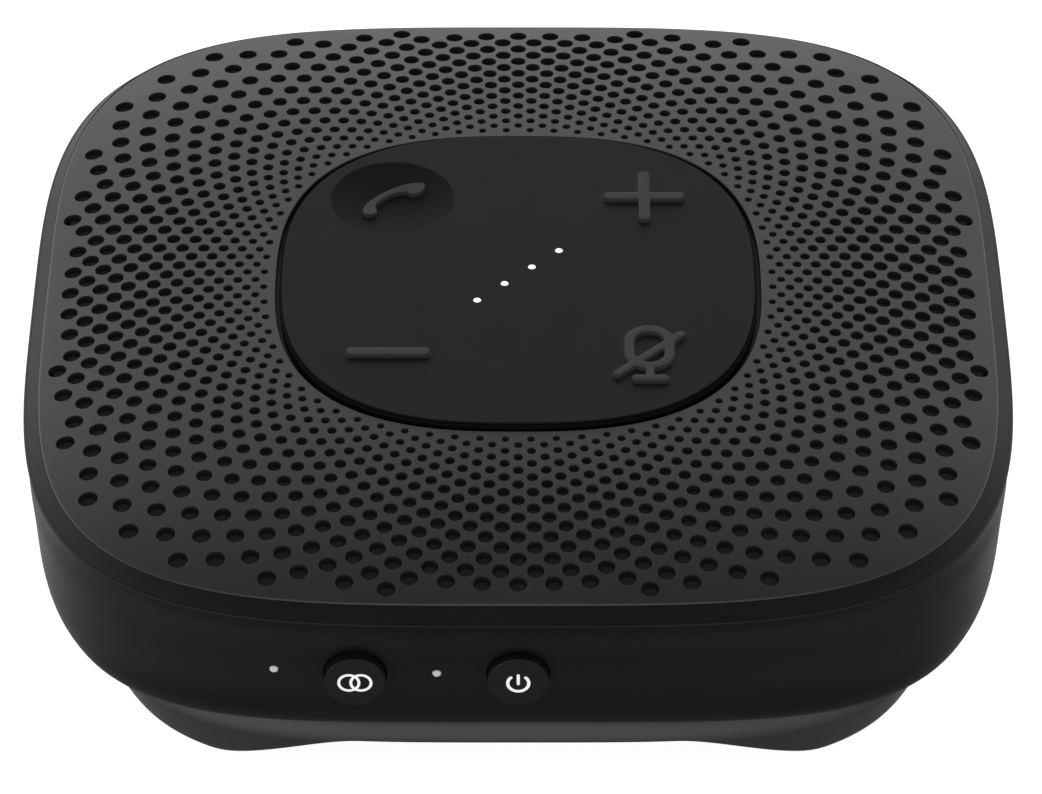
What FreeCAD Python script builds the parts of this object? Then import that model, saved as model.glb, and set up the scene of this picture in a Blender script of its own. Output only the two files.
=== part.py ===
import FreeCAD, Part
import Sketcher
import math
import os

# Conference speakerphone, millimetres.
# Origin: centre of the footprint on the table plane (z = 0 is the underside of
# the foot pads).  +Z up, -Y is the front wall with the two buttons, +X right.

Vector = FreeCAD.Vector
doc = FreeCAD.newDocument("Speakerphone")

# ======================================================== driving dimensions
# alias, value, meaning
SIZES = [
    # outer form
    ("rim_half_width", 63.4, "half width of the widest edge, top of the side wall"),
    ("rim_height", 34.2, "height of that edge"),
    ("rim_square", 3.65, "squareness (superellipse exponent) of the rim"),
    ("apex_height", 39.1, "height of the flat middle of the domed cover"),
    ("dome_drop", 2.3126, "drop of the dome at dome_reach"),
    ("dome_reach", 56.84, "half width at which the drop is measured"),
    ("dome_power", 4.167, "how fast the dome falls off"),
    ("dome_square", 3.506, "squareness of the dome's level lines"),
    ("wall_thick", 2.0, "side wall thickness"),
    ("housing_foot", 13.4, "lower edge of the side wall"),
    # cover
    ("grille_half_width", 61.35, "half width of the perforated cover"),
    ("grille_square", 3.75, "squareness of its outline"),
    ("grille_thick", 1.0, "cover thickness"),
    ("window_half_width", 31.2, "half width of the keypad window"),
    ("window_square", 2.70, "squareness of the window"),
    ("cloth_thick", 0.3, "acoustic cloth"),
    ("cloth_gap", 0.03, "glue line between cover and cloth"),
    # keypad
    ("pad_half_width", 30.6, "half width of the silicone pad"),
    ("pad_square", 2.65, "squareness of the pad"),
    ("pad_top", 39.54, "height of the pad's top face"),
    ("pad_under", 37.9, "underside of the pad and of the keys"),
    ("key_offset", 16.6, "key centre from each centre line"),
    ("key_size", 8.1, "key cap radius"),
    ("key_gap", 0.15, "clearance round a key"),
    ("stem_size", 2.5, "key stem radius"),
    ("stem_under", 37.0, "underside of the key stems"),
    ("icon_rise", 0.6, "height of the raised key symbols"),
    ("icon_bar", 1.55, "stroke width of the symbols"),
    ("icon_span", 10.6, "length of the plus and minus bars"),
    ("dish_depth", 1.05, "depth of the call key's dish"),
    ("dot_offset_near", 1.77, "inner light dots from the centre lines"),
    ("dot_offset_far", 5.3, "outer light dots from the centre lines"),
    ("dot_size", 0.52, "light dot radius"),
    # keypad tray and board
    ("tray_half_width", 30.3, "keypad tray half width"),
    ("tray_under", 34.2, "tray underside"),
    ("tray_floor", 0.8, "tray floor thickness"),
    ("tray_wall", 1.2, "tray wall thickness"),
    ("flange_half_width", 32.4, "tray flange that carries the cover's inner edge"),
    ("flange_top", 37.5, "top of that flange"),
    ("flange_thick", 0.9, "flange thickness"),
    ("keyboard_half_width", 28.9, "keypad circuit board half width"),
    ("keyboard_thick", 1.0, "keypad circuit board thickness"),
    ("dome_switch_size", 2.6, "dome switch radius"),
    ("dome_switch_rise", 0.45, "dome switch height"),
    ("tray_post_offset", 22.0, "tray post from each centre line"),
    ("tray_post_size", 2.2, "tray post radius"),
    # chassis plate
    ("chassis_under", 31.0, "underside of the speaker baffle"),
    ("chassis_thick", 1.4, "baffle thickness"),
    ("chassis_half_width", 60.5, "baffle half width"),
    ("chassis_square", 3.85, "baffle squareness"),
    ("ledge_thick", 0.8, "thickness of the housing's ledge"),
    ("ledge_half_width", 59.4, "inner half width of the ledge"),
    ("speaker_opening", 25.0, "opening radius for the speaker"),
    ("corner_post_offset", 39.8, "corner posts from each centre line"),
    ("corner_post_size", 3.2, "corner post radius"),
    ("trim_boss_offset", 47.0, "trim ring bosses from each centre line"),
    ("trim_boss_size", 3.0, "trim ring boss radius"),
    ("trim_lip_under", 32.45, "lower edge of the trim ring's lip"),
    # speaker
    ("speaker_flange_size", 27.0, "speaker flange radius"),
    ("speaker_flange_top", 30.2, "top of the speaker flange"),
    ("speaker_ear_offset", 29.5, "fixing ears from the axis"),
    ("magnet_size", 19.0, "magnet ring radius"),
    ("magnet_bore", 10.5, "magnet ring bore radius"),
    ("plate_size", 18.0, "top plate and yoke radius"),
    ("pole_size", 8.2, "pole piece radius"),
    ("gap_size", 9.15, "bore radius of the top plate"),
    ("coil_bore", 8.45, "voice coil inner radius"),
    ("coil_size", 8.95, "voice coil outer radius"),
    # bottom
    ("floor_under", 11.0, "underside of the hard bottom cover"),
    ("floor_thick", 1.6, "bottom cover thickness"),
    ("floor_half_width", 54.8, "bottom cover half width"),
    ("floor_square", 4.0, "squareness of the bottom cover"),
    ("floor_wall_top", 16.0, "top of the bottom cover's wall"),
    ("arch_height", 9.2, "height of the arch between two feet"),
    ("arch_flat", 20.0, "half length of the arch's level part"),
    ("arch_reach", 44.0, "where the arch meets the table plane"),
    ("skirt_window", 29.8, "half width of the opening in the skirt"),
    ("foot_offset", 39.8, "foot pads from each centre line"),
    ("foot_size", 3.2, "foot pad radius"),
    ("foot_thick", 2.2, "foot pad thickness"),
    # front controls
    ("button_size", 3.75, "front button radius"),
    ("button_level", 25.55, "height of the front controls"),
    ("button_proud", 1.6, "how far a button stands out of the wall"),
    ("button_gap", 0.1, "clearance round a button"),
    ("front_wall", 62.33, "front face of the wall at that height"),
    ("link_place", -20.0, "link button from the centre line"),
    ("lamp_place_near", -10.0, "power lamp from the centre line"),
    ("lamp_place_far", -30.0, "link lamp from the centre line"),
    ("lamp_size", 0.55, "lamp window radius"),
    # boards
    ("board_under", 20.0, "underside of the circuit boards"),
    ("board_thick", 1.6, "main board thickness"),
    ("board_front", -56.5, "front edge of the main board"),
    ("board_back", -32.5, "rear edge of the main board"),
    ("board_half_length", 33.0, "half length of the main board"),
    # screws
    ("small_shank", 0.9, "small screw shank radius"),
    ("small_head", 1.8, "small screw head radius"),
    ("large_shank", 1.25, "base screw shank radius"),
    ("large_head", 2.3, "base screw head radius"),
    ("thread_gap", 0.03, "clearance round a shank in its pilot hole"),
]

OPERATIONS = {
    "+": lambda left, right: left + right,
    "-": lambda left, right: left - right,
    "*": lambda left, right: left * right,
    "/": lambda left, right: left / right,
}


class Size:
    """A number together with the sheet expression it follows."""

    def __init__(self, value, expression):
        self.value = float(value)
        self.expression = expression

    def __add__(self, other):
        return combine(self, "+", other)

    def __radd__(self, other):
        return combine(other, "+", self)

    def __sub__(self, other):
        return combine(self, "-", other)

    def __rsub__(self, other):
        return combine(other, "-", self)

    def __mul__(self, other):
        return combine(self, "*", other)

    def __rmul__(self, other):
        return combine(other, "*", self)

    def __truediv__(self, other):
        return combine(self, "/", other)

    def __neg__(self):
        return 0 - self


def number(size):
    return size.value if isinstance(size, Size) else float(size)


def combine(left, sign, right):
    """The Size made by an operation on two sizes or plain numbers."""
    value = OPERATIONS[sign](number(left), number(right))
    terms = [q.expression if isinstance(q, Size) else repr(float(q)) for q in (left, right)]
    return Size(value, "(%s %s %s)" % (terms[0], sign, terms[1]))


class Dimensions:
    """The sheet's sizes, one attribute for each alias."""


def fill_sheet():
    """Write the sizes to the sheet and read them back as Size values."""
    sheet = doc.addObject("Spreadsheet::Sheet", "Sizes")
    for column, heading in zip("ABC", ("name", "value", "meaning")):
        sheet.set(column + "1", heading)
    for row, (alias, value, meaning) in enumerate(SIZES, 2):
        sheet.set("A%d" % row, alias)
        sheet.set("B%d" % row, repr(float(value)))
        sheet.set("C%d" % row, meaning)
        sheet.setAlias("B%d" % row, alias)
    doc.recompute()
    result = Dimensions()
    for alias, _, _ in SIZES:
        setattr(result, alias, Size(sheet.get(alias), "Sizes." + alias))
    return result


dims = fill_sheet()


def follow(obj, prop, size):
    """Tie a property to the sheet where its size comes from there."""
    if isinstance(size, Size):
        obj.setExpression(prop, size.expression)


def bind(obj, prop, size):
    setattr(obj, prop, number(size))
    follow(obj, prop, size)


def place(obj, x=0, y=0, z=0):
    """Move an object to x, y, z and keep its rotation."""
    placement = obj.Placement
    placement.Base = Vector(number(x), number(y), number(z))
    obj.Placement = placement
    for axis, size in zip("xyz", (x, y, z)):
        follow(obj, "Placement.Base." + axis, size)
    return obj


def turn_object(obj, axis, angle):
    obj.Placement = FreeCAD.Placement(Vector(0, 0, 0), FreeCAD.Rotation(axis, angle))


# ================================================== primitives and booleans
X_AXIS = Vector(1, 0, 0)
Z_AXIS = Vector(0, 0, 1)


def cylinder(radius, height, x=0, y=0, z=0, along_y=False):
    """Cylinder from the centre of its first end, along +Z or +Y."""
    obj = doc.addObject("Part::Cylinder", "cylinder")
    bind(obj, "Radius", radius)
    bind(obj, "Height", height)
    if along_y:
        turn_object(obj, X_AXIS, -90)
    return place(obj, x, y, z)


def box(x, y, z, length, width, height, turn=0.0):
    """Box with its corner at x, y, z, turned about that corner."""
    obj = doc.addObject("Part::Box", "box")
    bind(obj, "Length", length)
    bind(obj, "Width", width)
    bind(obj, "Height", height)
    turn_object(obj, Z_AXIS, turn)
    return place(obj, x, y, z)


def centred_box(x, y, z, length, width, height):
    """Box centred on x and y, standing on z."""
    return box(x - length / 2.0, y - width / 2.0, z, length, width, height)


def fuse(*shapes):
    obj = doc.addObject("Part::MultiFuse", "fuse")
    obj.Shapes = list(shapes)
    return obj


def group(*shapes):
    obj = doc.addObject("Part::Compound", "group")
    obj.Links = list(shapes)
    return obj


def cut(base, *tools):
    """Cut with tools that stand clear of each other, all at once."""
    obj = doc.addObject("Part::Cut", "cut")
    obj.Base = base
    obj.Tool = group(*tools) if len(tools) > 1 else tools[0]
    return obj


def cut_each(base, *tools):
    """Cut with the tools one by one, as they may touch or overlap."""
    for tool in tools:
        base = cut(base, tool)
    return base


def mirrored(obj, normal_x, normal_y):
    mirror = doc.addObject("Part::Mirroring", "mirror")
    mirror.Source = obj
    mirror.Base = Vector(0, 0, 0)
    mirror.Normal = Vector(normal_x, normal_y, 0)
    return mirror


def four(obj):
    """The piece and its three reflections in the two centre planes."""
    pair = group(obj, mirrored(obj, 1, 0))
    return group(pair, mirrored(pair, 0, 1))


def slot_bar(half_length, radius, y, depth, z):
    """Bar along +Y with a round-ended section, centred on x = 0 and z."""
    return fuse(
        box(-half_length, y, z - radius, 2 * half_length, depth, 2 * radius),
        cylinder(radius, depth, -half_length, y, z, along_y=True),
        cylinder(radius, depth, half_length, y, z, along_y=True),
    )


# ================================================================ squircles
def squircle_wire(half_width, squareness, count=48):
    """Closed spline through count points of a superellipse."""
    points = []
    for i in range(count):
        angle = 2.0 * math.pi * i / count
        cosine, sine = math.cos(angle), math.sin(angle)
        spread = abs(cosine) ** squareness + abs(sine) ** squareness
        radius = half_width / spread ** (1.0 / squareness)
        points.append(Vector(radius * cosine, radius * sine, 0))
    curve = Part.BSplineCurve()
    curve.interpolate(Points=points, PeriodicFlag=True)
    return Part.Wire([curve.toShape()])


def outline(half_width, squareness, z):
    obj = doc.addObject("Part::Feature", "outline")
    obj.Shape = squircle_wire(number(half_width), number(squareness))
    return place(obj, 0, 0, z)


def prism(half_width, squareness, bottom, top):
    """Upright squircle prism between two heights."""
    obj = doc.addObject("Part::Extrusion", "prism")
    obj.Base = outline(half_width, squareness, bottom)
    obj.DirMode = "Custom"
    obj.Dir = Z_AXIS
    bind(obj, "LengthFwd", top - bottom)
    obj.Solid = True
    return obj


def loft(levels, ruled=False):
    """Squircle loft through (half width, squareness, height) levels."""
    obj = doc.addObject("Part::Loft", "loft")
    obj.Sections = [outline(*level) for level in levels]
    obj.Solid = True
    obj.Ruled = ruled
    return obj


# ======================================================== PartDesign bodies
def new_sketch(body, role, offset=0):
    """Sketch on a plane of the body's origin, raised by offset."""
    sketch = body.newObject("Sketcher::SketchObject", "sketch")
    plane = [f for f in body.Origin.OriginFeatures if f.Role == role][0]
    sketch.AttachmentSupport = [(plane, "")]
    sketch.MapMode = "FlatFace"
    sketch.AttachmentOffset = FreeCAD.Placement(
        Vector(0, 0, number(offset)), FreeCAD.Rotation())
    follow(sketch, "AttachmentOffset.Base.z", offset)
    return sketch


def fix_point(sketch, geometry, point, x, y):
    """Hold a sketch point at x, y; a zero coordinate puts it on the axis."""
    for kind, axis, size in (("DistanceX", -2, x), ("DistanceY", -1, y)):
        if abs(number(size)) < 1e-9:
            sketch.addConstraint(Sketcher.Constraint("PointOnObject", geometry, point, axis))
        else:
            index = sketch.addConstraint(
                Sketcher.Constraint(kind, -1, 1, geometry, point, number(size)))
            follow(sketch, "Constraints[%d]" % index, size)


def draw_polygon(sketch, points):
    """Closed polygon, drawn first in an empty sketch."""
    count = len(points)
    corners = [Vector(number(x), number(y), 0) for x, y in points]
    for i in range(count):
        sketch.addGeometry(Part.LineSegment(corners[i], corners[(i + 1) % count]), False)
    for i in range(count):
        sketch.addConstraint(Sketcher.Constraint("Coincident", i, 2, (i + 1) % count, 1))
    for i, (x, y) in enumerate(points):
        fix_point(sketch, i, 1, x, y)


def draw_circle(sketch, x, y, radius):
    circle = Part.Circle(Vector(x, y, 0), Z_AXIS, radius)
    index = sketch.addGeometry(circle, False)
    sketch.addConstraint(Sketcher.Constraint("Radius", index, radius))
    fix_point(sketch, index, 3, x, y)


def turned(profile, x=0, y=0, z=0, along_y=False):
    """Body turned from (radius, height) points, its axis along +Z or +Y."""
    body = doc.addObject("PartDesign::Body", "body")
    sketch = new_sketch(body, "XZ_Plane")
    draw_polygon(sketch, profile)
    revolution = body.newObject("PartDesign::Revolution", "revolution")
    revolution.Profile = sketch
    revolution.ReferenceAxis = (sketch, ["V_Axis"])
    revolution.Angle = 360.0
    sketch.Visibility = False
    if along_y:
        turn_object(body, X_AXIS, -90)
    return place(body, x, y, z)


def circuit_board(left, right, front, back, z, thick, hole_places):
    """Rectangular board padded up from z, with round screw holes."""
    hole_radius = 0.9
    body = doc.addObject("PartDesign::Body", "body")
    sketch = new_sketch(body, "XY_Plane", z)
    draw_polygon(sketch, [(left, front), (right, front), (right, back), (left, back)])
    for x, y in hole_places:
        draw_circle(sketch, x, y, hole_radius)
    pad = body.newObject("PartDesign::Pad", "pad")
    pad.Profile = sketch
    bind(pad, "Length", thick)
    sketch.Visibility = False
    return body


# =================================================================== pieces
pieces = []


def node(label, obj):
    """Label a finished piece and list it for export."""
    obj.Label = label
    pieces.append(obj)


def bake(label, shape):
    """A piece whose shape is made with Part's own functions."""
    obj = doc.addObject("Part::Feature", "piece")
    obj.Shape = shape
    node(label, obj)


# Levels and places shared by several pieces
REAR_BOARD_THICK = 1.2
PORT_RADIUS = 1.58
floor_top = dims.floor_under + dims.floor_thick
board_top = dims.board_under + dims.board_thick
rear_board_top = dims.board_under + REAR_BOARD_THICK
port_level = rear_board_top + PORT_RADIUS
chassis_top = dims.chassis_under + dims.chassis_thick
keyboard_under = dims.tray_under + dims.tray_floor
keyboard_top = keyboard_under + dims.keyboard_thick
ear_offset = dims.speaker_ear_offset
EARS = [(ear_offset, 0), (-ear_offset, 0), (0, ear_offset), (0, -ear_offset)]
MAIN_BOARD_POSTS = [(29, -36), (-29, -36), (29, -50), (-29, -50)]
REAR_BOARD_POSTS = [(17, 43), (-17, 43)]

# Screw fits
CLEARANCE = 0.15
BOARD_SHANK = 0.8
BASE_SCREW_INSET = 5.3  # head's bearing plane above the foot pad
small_pilot = dims.small_shank + dims.thread_gap
large_pilot = dims.large_shank + dims.thread_gap
small_clear = dims.small_shank + CLEARANCE
large_clear = dims.large_shank + CLEARANCE


def at_corners(offset, radius, height, z):
    """Four upright cylinders at the same offset from both centre lines."""
    return four(cylinder(radius, height, offset, offset, z))


# ============================================================= outer shells
# Side wall below the rim: inset from rim_half_width, squareness, drop below
# rim_height.  The sides lean in slightly, then turn under towards the base.
WALL_STATIONS = [
    (0.30, 3.70, 1.4), (0.53, 3.78, 3.9), (0.90, 3.90, 7.1), (1.25, 4.05, 10.3),
    (1.55, 4.15, 12.8), (2.20, 4.27, 15.3), (3.10, 4.38, 17.2), (4.40, 4.50, 19.1),
]
FOOT_INSET = 6.20
FOOT_SQUARE = 4.60


def wall_tube():
    """Side wall with the ledge for the baffle inside it."""
    rim, thick, foot = dims.rim_half_width, dims.wall_thick, dims.housing_foot
    foot_half_width = rim - FOOT_INSET
    middle = [(rim - inset, square, dims.rim_height - drop)
              for inset, square, drop in WALL_STATIONS]
    outer = loft(
        [(rim, dims.rim_square, dims.rim_height)]
        + middle
        + [(foot_half_width, FOOT_SQUARE, foot)]
    )
    inner = loft(
        [(rim - thick, dims.rim_square, dims.rim_height + 0.5)]
        + [(half_width - thick, square, z) for half_width, square, z in middle]
        + [(foot_half_width - thick + 0.5, FOOT_SQUARE, foot + 0.45)]
    )
    ledge_top = dims.chassis_under
    ledge = cut(
        prism(rim, 3.8, ledge_top - dims.ledge_thick, ledge_top),
        prism(dims.ledge_half_width, dims.chassis_square, ledge_top - 2.0, ledge_top + 1.0),
    )
    # straight mouth at the foot of the wall, leaving a low inner lip
    mouth = prism(foot_half_width - thick + 0.1, FOOT_SQUARE, foot - 0.5, foot + 0.9)
    return cut_each(outer, cut(inner, ledge), mouth)


def side_housing():
    """Wall with openings for the front controls and the rear connector."""
    button_hole = dims.button_size + dims.button_gap
    lamp_hole = dims.lamp_size + 0.06
    openings = [
        cylinder(radius, 14, x, -70, dims.button_level, along_y=True)
        for radius, x in (
            (button_hole, 0),
            (button_hole, dims.link_place),
            (lamp_hole, dims.lamp_place_near),
            (lamp_hole, dims.lamp_place_far),
        )
    ]
    port_slot = slot_bar(2.85, 1.95, 50, 20, port_level)
    return cut(wall_tube(), *openings, port_slot)


def trim_ring():
    """Bevel from rim to cover, cover pocket, inner lip and four screw bosses."""
    rim_top, rim = dims.rim_height, dims.rim_half_width
    lip_under, square = dims.trim_lip_under, dims.grille_square
    lip_half_width, opening_half_width = 60.9, 59.9
    bevel_half_width = rim - 0.13
    boss_top = rim_top + 0.3
    body = fuse(
        prism(rim - 0.8, 3.70, rim_top, rim_top + 0.3),
        loft(
            [
                (bevel_half_width, dims.rim_square, rim_top + 0.12),
                (bevel_half_width, dims.rim_square, rim_top + 0.22),
                (dims.grille_half_width + 0.25, square, rim_top + 1.25),
            ],
            ruled=True,
        ),
        prism(lip_half_width, square, lip_under, rim_top + 0.2),
    )
    opening = prism(opening_half_width, square, lip_under - 2.0, rim_top + 4.0)
    pocket = prism(dims.grille_half_width + 0.07, square, rim_top + 0.42, rim_top + 4.0)
    offset = dims.trim_boss_offset
    boss = cylinder(dims.trim_boss_size, boss_top - lip_under, offset, offset, lip_under)
    web = box(offset, offset, lip_under, 3.2, 3.2, 1.6)
    ring = fuse(cut_each(body, opening, pocket), four(fuse(boss, web)))
    return cut(ring, at_corners(offset, small_pilot, 2.2, lip_under - 0.5))


# Skirt: waist under the side wall, outward ridge, then in towards the table.
# half width, squareness, height
SKIRT = [
    (56.0, 4.00, 13.35), (55.7, 4.00, 12.3), (55.9, 3.95, 11.2), (56.5, 3.90, 10.1),
    (56.75, 3.90, 9.3), (56.6, 3.90, 8.4), (56.1, 3.90, 7.0), (55.2, 3.90, 5.0),
    (54.1, 3.90, 3.0), (52.9, 3.90, 1.2), (51.9, 3.90, 0.05),
]
SKIRT_WINDOW_SQUARE = 3.6


def arch_wire():
    """Profile under an arch, in the XZ plane: level in the middle, cubic ends."""
    flat, reach = dims.arch_flat.value, dims.arch_reach.value
    height, bottom = dims.arch_height.value, -4
    third = (reach - flat) / 3.0

    def line(x0, z0, x1, z1):
        return Part.LineSegment(Vector(x0, 0, z0), Vector(x1, 0, z1)).toShape()

    def bezier(*poles):
        curve = Part.BezierCurve()
        curve.setPoles([Vector(x, 0, z) for x, z in poles])
        return curve.toShape()

    return Part.Wire([
        line(-flat, height, flat, height),
        bezier((flat, height), (flat + third, height), (reach - third, 0), (reach, 0)),
        line(reach, 0, reach, bottom),
        line(reach, bottom, -reach, bottom),
        line(-reach, bottom, -reach, 0),
        bezier((-reach, 0), (-reach + third, 0), (-flat - third, height), (-flat, height)),
    ])


def arch(turn):
    """Arch tool right across the skirt, turned about Z."""
    profile = doc.addObject("Part::Feature", "arch_profile")
    profile.Shape = arch_wire()
    turn_object(profile, Z_AXIS, turn)
    obj = doc.addObject("Part::Extrusion", "arch")
    obj.Base = profile
    obj.DirMode = "Custom"
    obj.Dir = FreeCAD.Rotation(Z_AXIS, turn).multVec(Vector(0, 1, 0))
    obj.LengthFwd = 80.0
    obj.LengthRev = 80.0
    obj.Solid = True
    return obj


def base_skirt():
    floor, foot, post = dims.floor_under, dims.foot_thick, dims.corner_post_offset
    return cut_each(
        loft(SKIRT),
        prism(dims.floor_half_width + 0.05, dims.floor_square, floor, floor + 4.0),
        arch(0),
        arch(90),
        prism(dims.skirt_window, SKIRT_WINDOW_SQUARE, 0.0, floor + 1.0),
        at_corners(dims.foot_offset, dims.foot_size + 0.03, foot + 1.0, -1.0),
        # screw head recesses, then the shank holes
        at_corners(post, dims.large_head + CLEARANCE, BASE_SCREW_INSET + 0.1, foot - 0.1),
        at_corners(post, large_clear, 9.0, foot),
    )


def base_plate():
    """Floor, centring wall, board posts and low ribs beside the batteries."""
    floor, square = dims.floor_under, dims.floor_square
    sink = 0.2  # overlap of posts and ribs with the floor
    wall_top, wall = dims.floor_wall_top, 1.4
    shell = cut(
        prism(dims.floor_half_width, square, floor, wall_top),
        prism(dims.floor_half_width - wall, square, floor_top, wall_top + 1.0),
    )
    window_plug = prism(dims.skirt_window - 0.2, SKIRT_WINDOW_SQUARE, floor - 1.1, floor + 0.2)
    places = MAIN_BOARD_POSTS + REAR_BOARD_POSTS
    base = floor_top - sink
    posts = [cylinder(2.0, dims.board_under - base, x, y, base) for x, y in places]
    ribs = [box(x, y, base, 21.5, 1.2, 4.2) for x in (31, -52.5) for y in (31.2, -32.4)]
    pilots = [cylinder(BOARD_SHANK + dims.thread_gap, 6.1, x, y, dims.board_under - 6.0)
              for x, y in places]
    screw_holes = at_corners(dims.corner_post_offset, large_clear, 4.0, floor - 1.0)
    return cut(fuse(shell, window_plug, *posts, *ribs), *pilots, screw_holes)


node("side_housing", side_housing())
node("trim_ring", trim_ring())
node("base_skirt", base_skirt())
node("foot_pads", at_corners(dims.foot_offset, dims.foot_size, dims.foot_thick, 0))
node("base_plate", base_plate())


# ================================================================ top cover
def dome_height(x, y):
    square = dims.dome_square.value
    reach = (abs(x) ** square + abs(y) ** square + 1e-12) ** (1.0 / square)
    fall = (reach / dims.dome_reach.value) ** dims.dome_power.value
    return dims.apex_height.value - dims.dome_drop.value * fall


def dome_quarter(width=64.0, count=9):
    """Domed sheet over the quarter x >= 0, y >= 0."""
    steps = [width * i / (count - 1) for i in range(count)]
    surface = Part.BSplineSurface()
    surface.interpolate([[Vector(x, y, dome_height(x, y)) for y in steps] for x in steps])
    return surface.toShape()


def dome_octant(drop, thick, outer, inner):
    """One eighth (0 <= x <= y) of a domed plate with a squircle window.

    drop is measured down from the dome; outer and inner are (half width,
    squareness).
    """
    slab = dome_quarter().extrude(Vector(0, 0, -thick))
    slab.translate(Vector(0, 0, -drop))
    triangle = Part.makePolygon(
        [Vector(0, 0, 0), Vector(0, 100, 0), Vector(100, 100, 0), Vector(0, 0, 0)])
    tools = []
    for boundary in (squircle_wire(*outer), squircle_wire(*inner), triangle):
        tool = Part.Face(boundary).extrude(Vector(0, 0, 40))
        tool.translate(Vector(0, 0, 15))
        tools.append(tool)
    outside, window, wedge = tools
    return slab.common(outside).common(wedge).cut(window)


def on_seam(face, tolerance=1e-4):
    """Whether a face lies in the plane x = 0 or x = y."""
    if face.BoundBox.XMax < tolerance:
        return True
    if any(abs(vertex.X - vertex.Y) > tolerance for vertex in face.Vertexes):
        return False
    centre = face.CenterOfMass
    return abs(centre.x - centre.y) < tolerance


def eightfold(octant):
    """Reflect an eighth into the whole plate and sew the skins together."""
    skins = [Part.makeCompound([face for face in octant.Faces if not on_seam(face)])]
    for normal in (Vector(1, -1, 0), Vector(1, 0, 0), Vector(0, 1, 0)):
        skins += [skin.mirror(Vector(0, 0, 0), normal) for skin in skins]
    shell = Part.makeShell([face for skin in skins for face in skin.Faces])
    shell.sewShape()
    solid = Part.makeSolid(shell)
    # sewing may leave the skin inside out
    if solid.Volume < 0:
        solid.reverse()
    return solid


# Perforation: 68 holes to a ring, alternate rings shifted by half a step.
# Ring radius and angle follow a short series in the ring number and the
# nominal angle; both keep the eightfold symmetry of the cover.
# Rows: angular harmonics.  Columns: rising powers of ring number / 20.
LN_RADIUS = [
    [3.53634, 0.62774, -0.01992, 0.04956],
    [-0.04173, 0.02525, -0.00249, -0.00367],
    [0.00153, 0.00452, -0.00712, 0.00423],
]
ANGLE_SHIFT = [
    [0.01057, -0.10083, 0.02131],
    [0.00083, 0.00710, -0.00016],
]
# outermost ring on each of the radial lines from +Y to the diagonal
LAST_RING = [17, 16, 17, 16, 17, 16, 17, 18, 17, 18, 17, 18, 19, 18, 19, 20, 19, 20]


def power_series(coefficients, base):
    return sum(factor * base ** power for power, factor in enumerate(coefficients))


def octant_holes():
    """(x, y, radius) of every hole with 0 <= x <= y."""
    holes = []
    for line, last_ring in enumerate(LAST_RING):
        nominal = math.pi / 4.0 * line / (len(LAST_RING) - 1)
        for ring in range(last_ring + 1):
            if (ring + line) % 2 == 0:
                continue
            part = ring / 20.0
            ln_radius = 0.0
            for i, row in enumerate(LN_RADIUS):
                ln_radius += math.cos(4 * i * nominal) * power_series(row, part)
            angle = nominal
            for i, row in enumerate(ANGLE_SHIFT, 1):
                angle += math.sin(4 * i * nominal) * power_series(row, part)
            distance = math.exp(ln_radius)
            hole_radius = 0.480 + 0.0423 * ring - 0.0002 * ring * ring
            holes.append((distance * math.sin(angle), distance * math.cos(angle), hole_radius))
    return holes


def grille_cover():
    cover = dome_octant(
        0.0,
        dims.grille_thick.value,
        (dims.grille_half_width.value, dims.grille_square.value),
        (dims.window_half_width.value, dims.window_square.value),
    )
    pins = [Part.makeCylinder(radius, 8.0, Vector(x, y, 32.0))
            for x, y, radius in octant_holes()]
    return eightfold(cover.cut(pins))


def acoustic_mesh():
    """Cloth glued under the cover."""
    cloth_half_width = 59.7
    return eightfold(dome_octant(
        dims.grille_thick.value + dims.cloth_gap.value,
        dims.cloth_thick.value,
        (cloth_half_width, dims.grille_square.value),
        (dims.window_half_width.value + 0.3, dims.window_square.value),
    ))


bake("grille_cover", grille_cover())
bake("acoustic_mesh", acoustic_mesh())

# =================================================================== keypad
pad_top = dims.pad_top
pad_under = dims.pad_under
key_offset = dims.key_offset
# light dots, on the diagonal from front left to back right
DOTS = [(offset, offset) for offset in (
    -dims.dot_offset_far, -dims.dot_offset_near, dims.dot_offset_near, dims.dot_offset_far)]


def keypad_membrane():
    half_width, square, bevel = dims.pad_half_width, dims.pad_square, 0.4
    pad = fuse(
        prism(half_width, square, pad_under, pad_top - bevel),
        loft([(half_width, square, pad_top - bevel), (half_width - bevel, square, pad_top)],
             ruled=True),
    )
    below = pad_under - 1.0
    key_holes = [
        cylinder(dims.key_size + dims.key_gap, 4.0, side * key_offset, end * key_offset, below)
        for side, end in ((1, 1), (-1, 1), (1, -1), (-1, -1))
    ]
    dot_holes = [cylinder(dims.dot_size + 0.03, 4.0, x, y, below) for x, y in DOTS]
    return cut(pad, *key_holes, *dot_holes)


def key_blank(side, end):
    """Turned key: round cap with a stem below it; side and end are +1 or -1."""
    stem, cap = dims.stem_size, dims.key_size
    return turned(
        [
            (0, dims.stem_under), (stem, dims.stem_under), (stem, pad_under),
            (cap, pad_under), (cap, pad_top), (0, pad_top),
        ],
        side * key_offset, end * key_offset,
    )


# Symbols start a little below the cap's face so that they merge with it.
SYMBOL_SINK = 0.1
symbol_under = pad_top - SYMBOL_SINK
symbol_height = dims.icon_rise + SYMBOL_SINK
bar_span = dims.icon_span - dims.icon_bar  # between the centres of the ends


def bar(x, y, span, turn=0.0):
    """Round-ended symbol bar, turned about its middle."""
    stroke = dims.icon_bar
    half = span / 2.0
    cosine, sine = math.cos(math.radians(turn)), math.sin(math.radians(turn))
    start_x, start_y = x - half * cosine, y - half * sine
    middle = box(
        start_x + stroke * (sine / 2.0), start_y - stroke * (cosine / 2.0), symbol_under,
        span, stroke, symbol_height, turn,
    )
    return fuse(
        middle,
        cylinder(stroke / 2.0, symbol_height, start_x, start_y, symbol_under),
        cylinder(stroke / 2.0, symbol_height, x + half * cosine, y + half * sine, symbol_under),
    )


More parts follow.
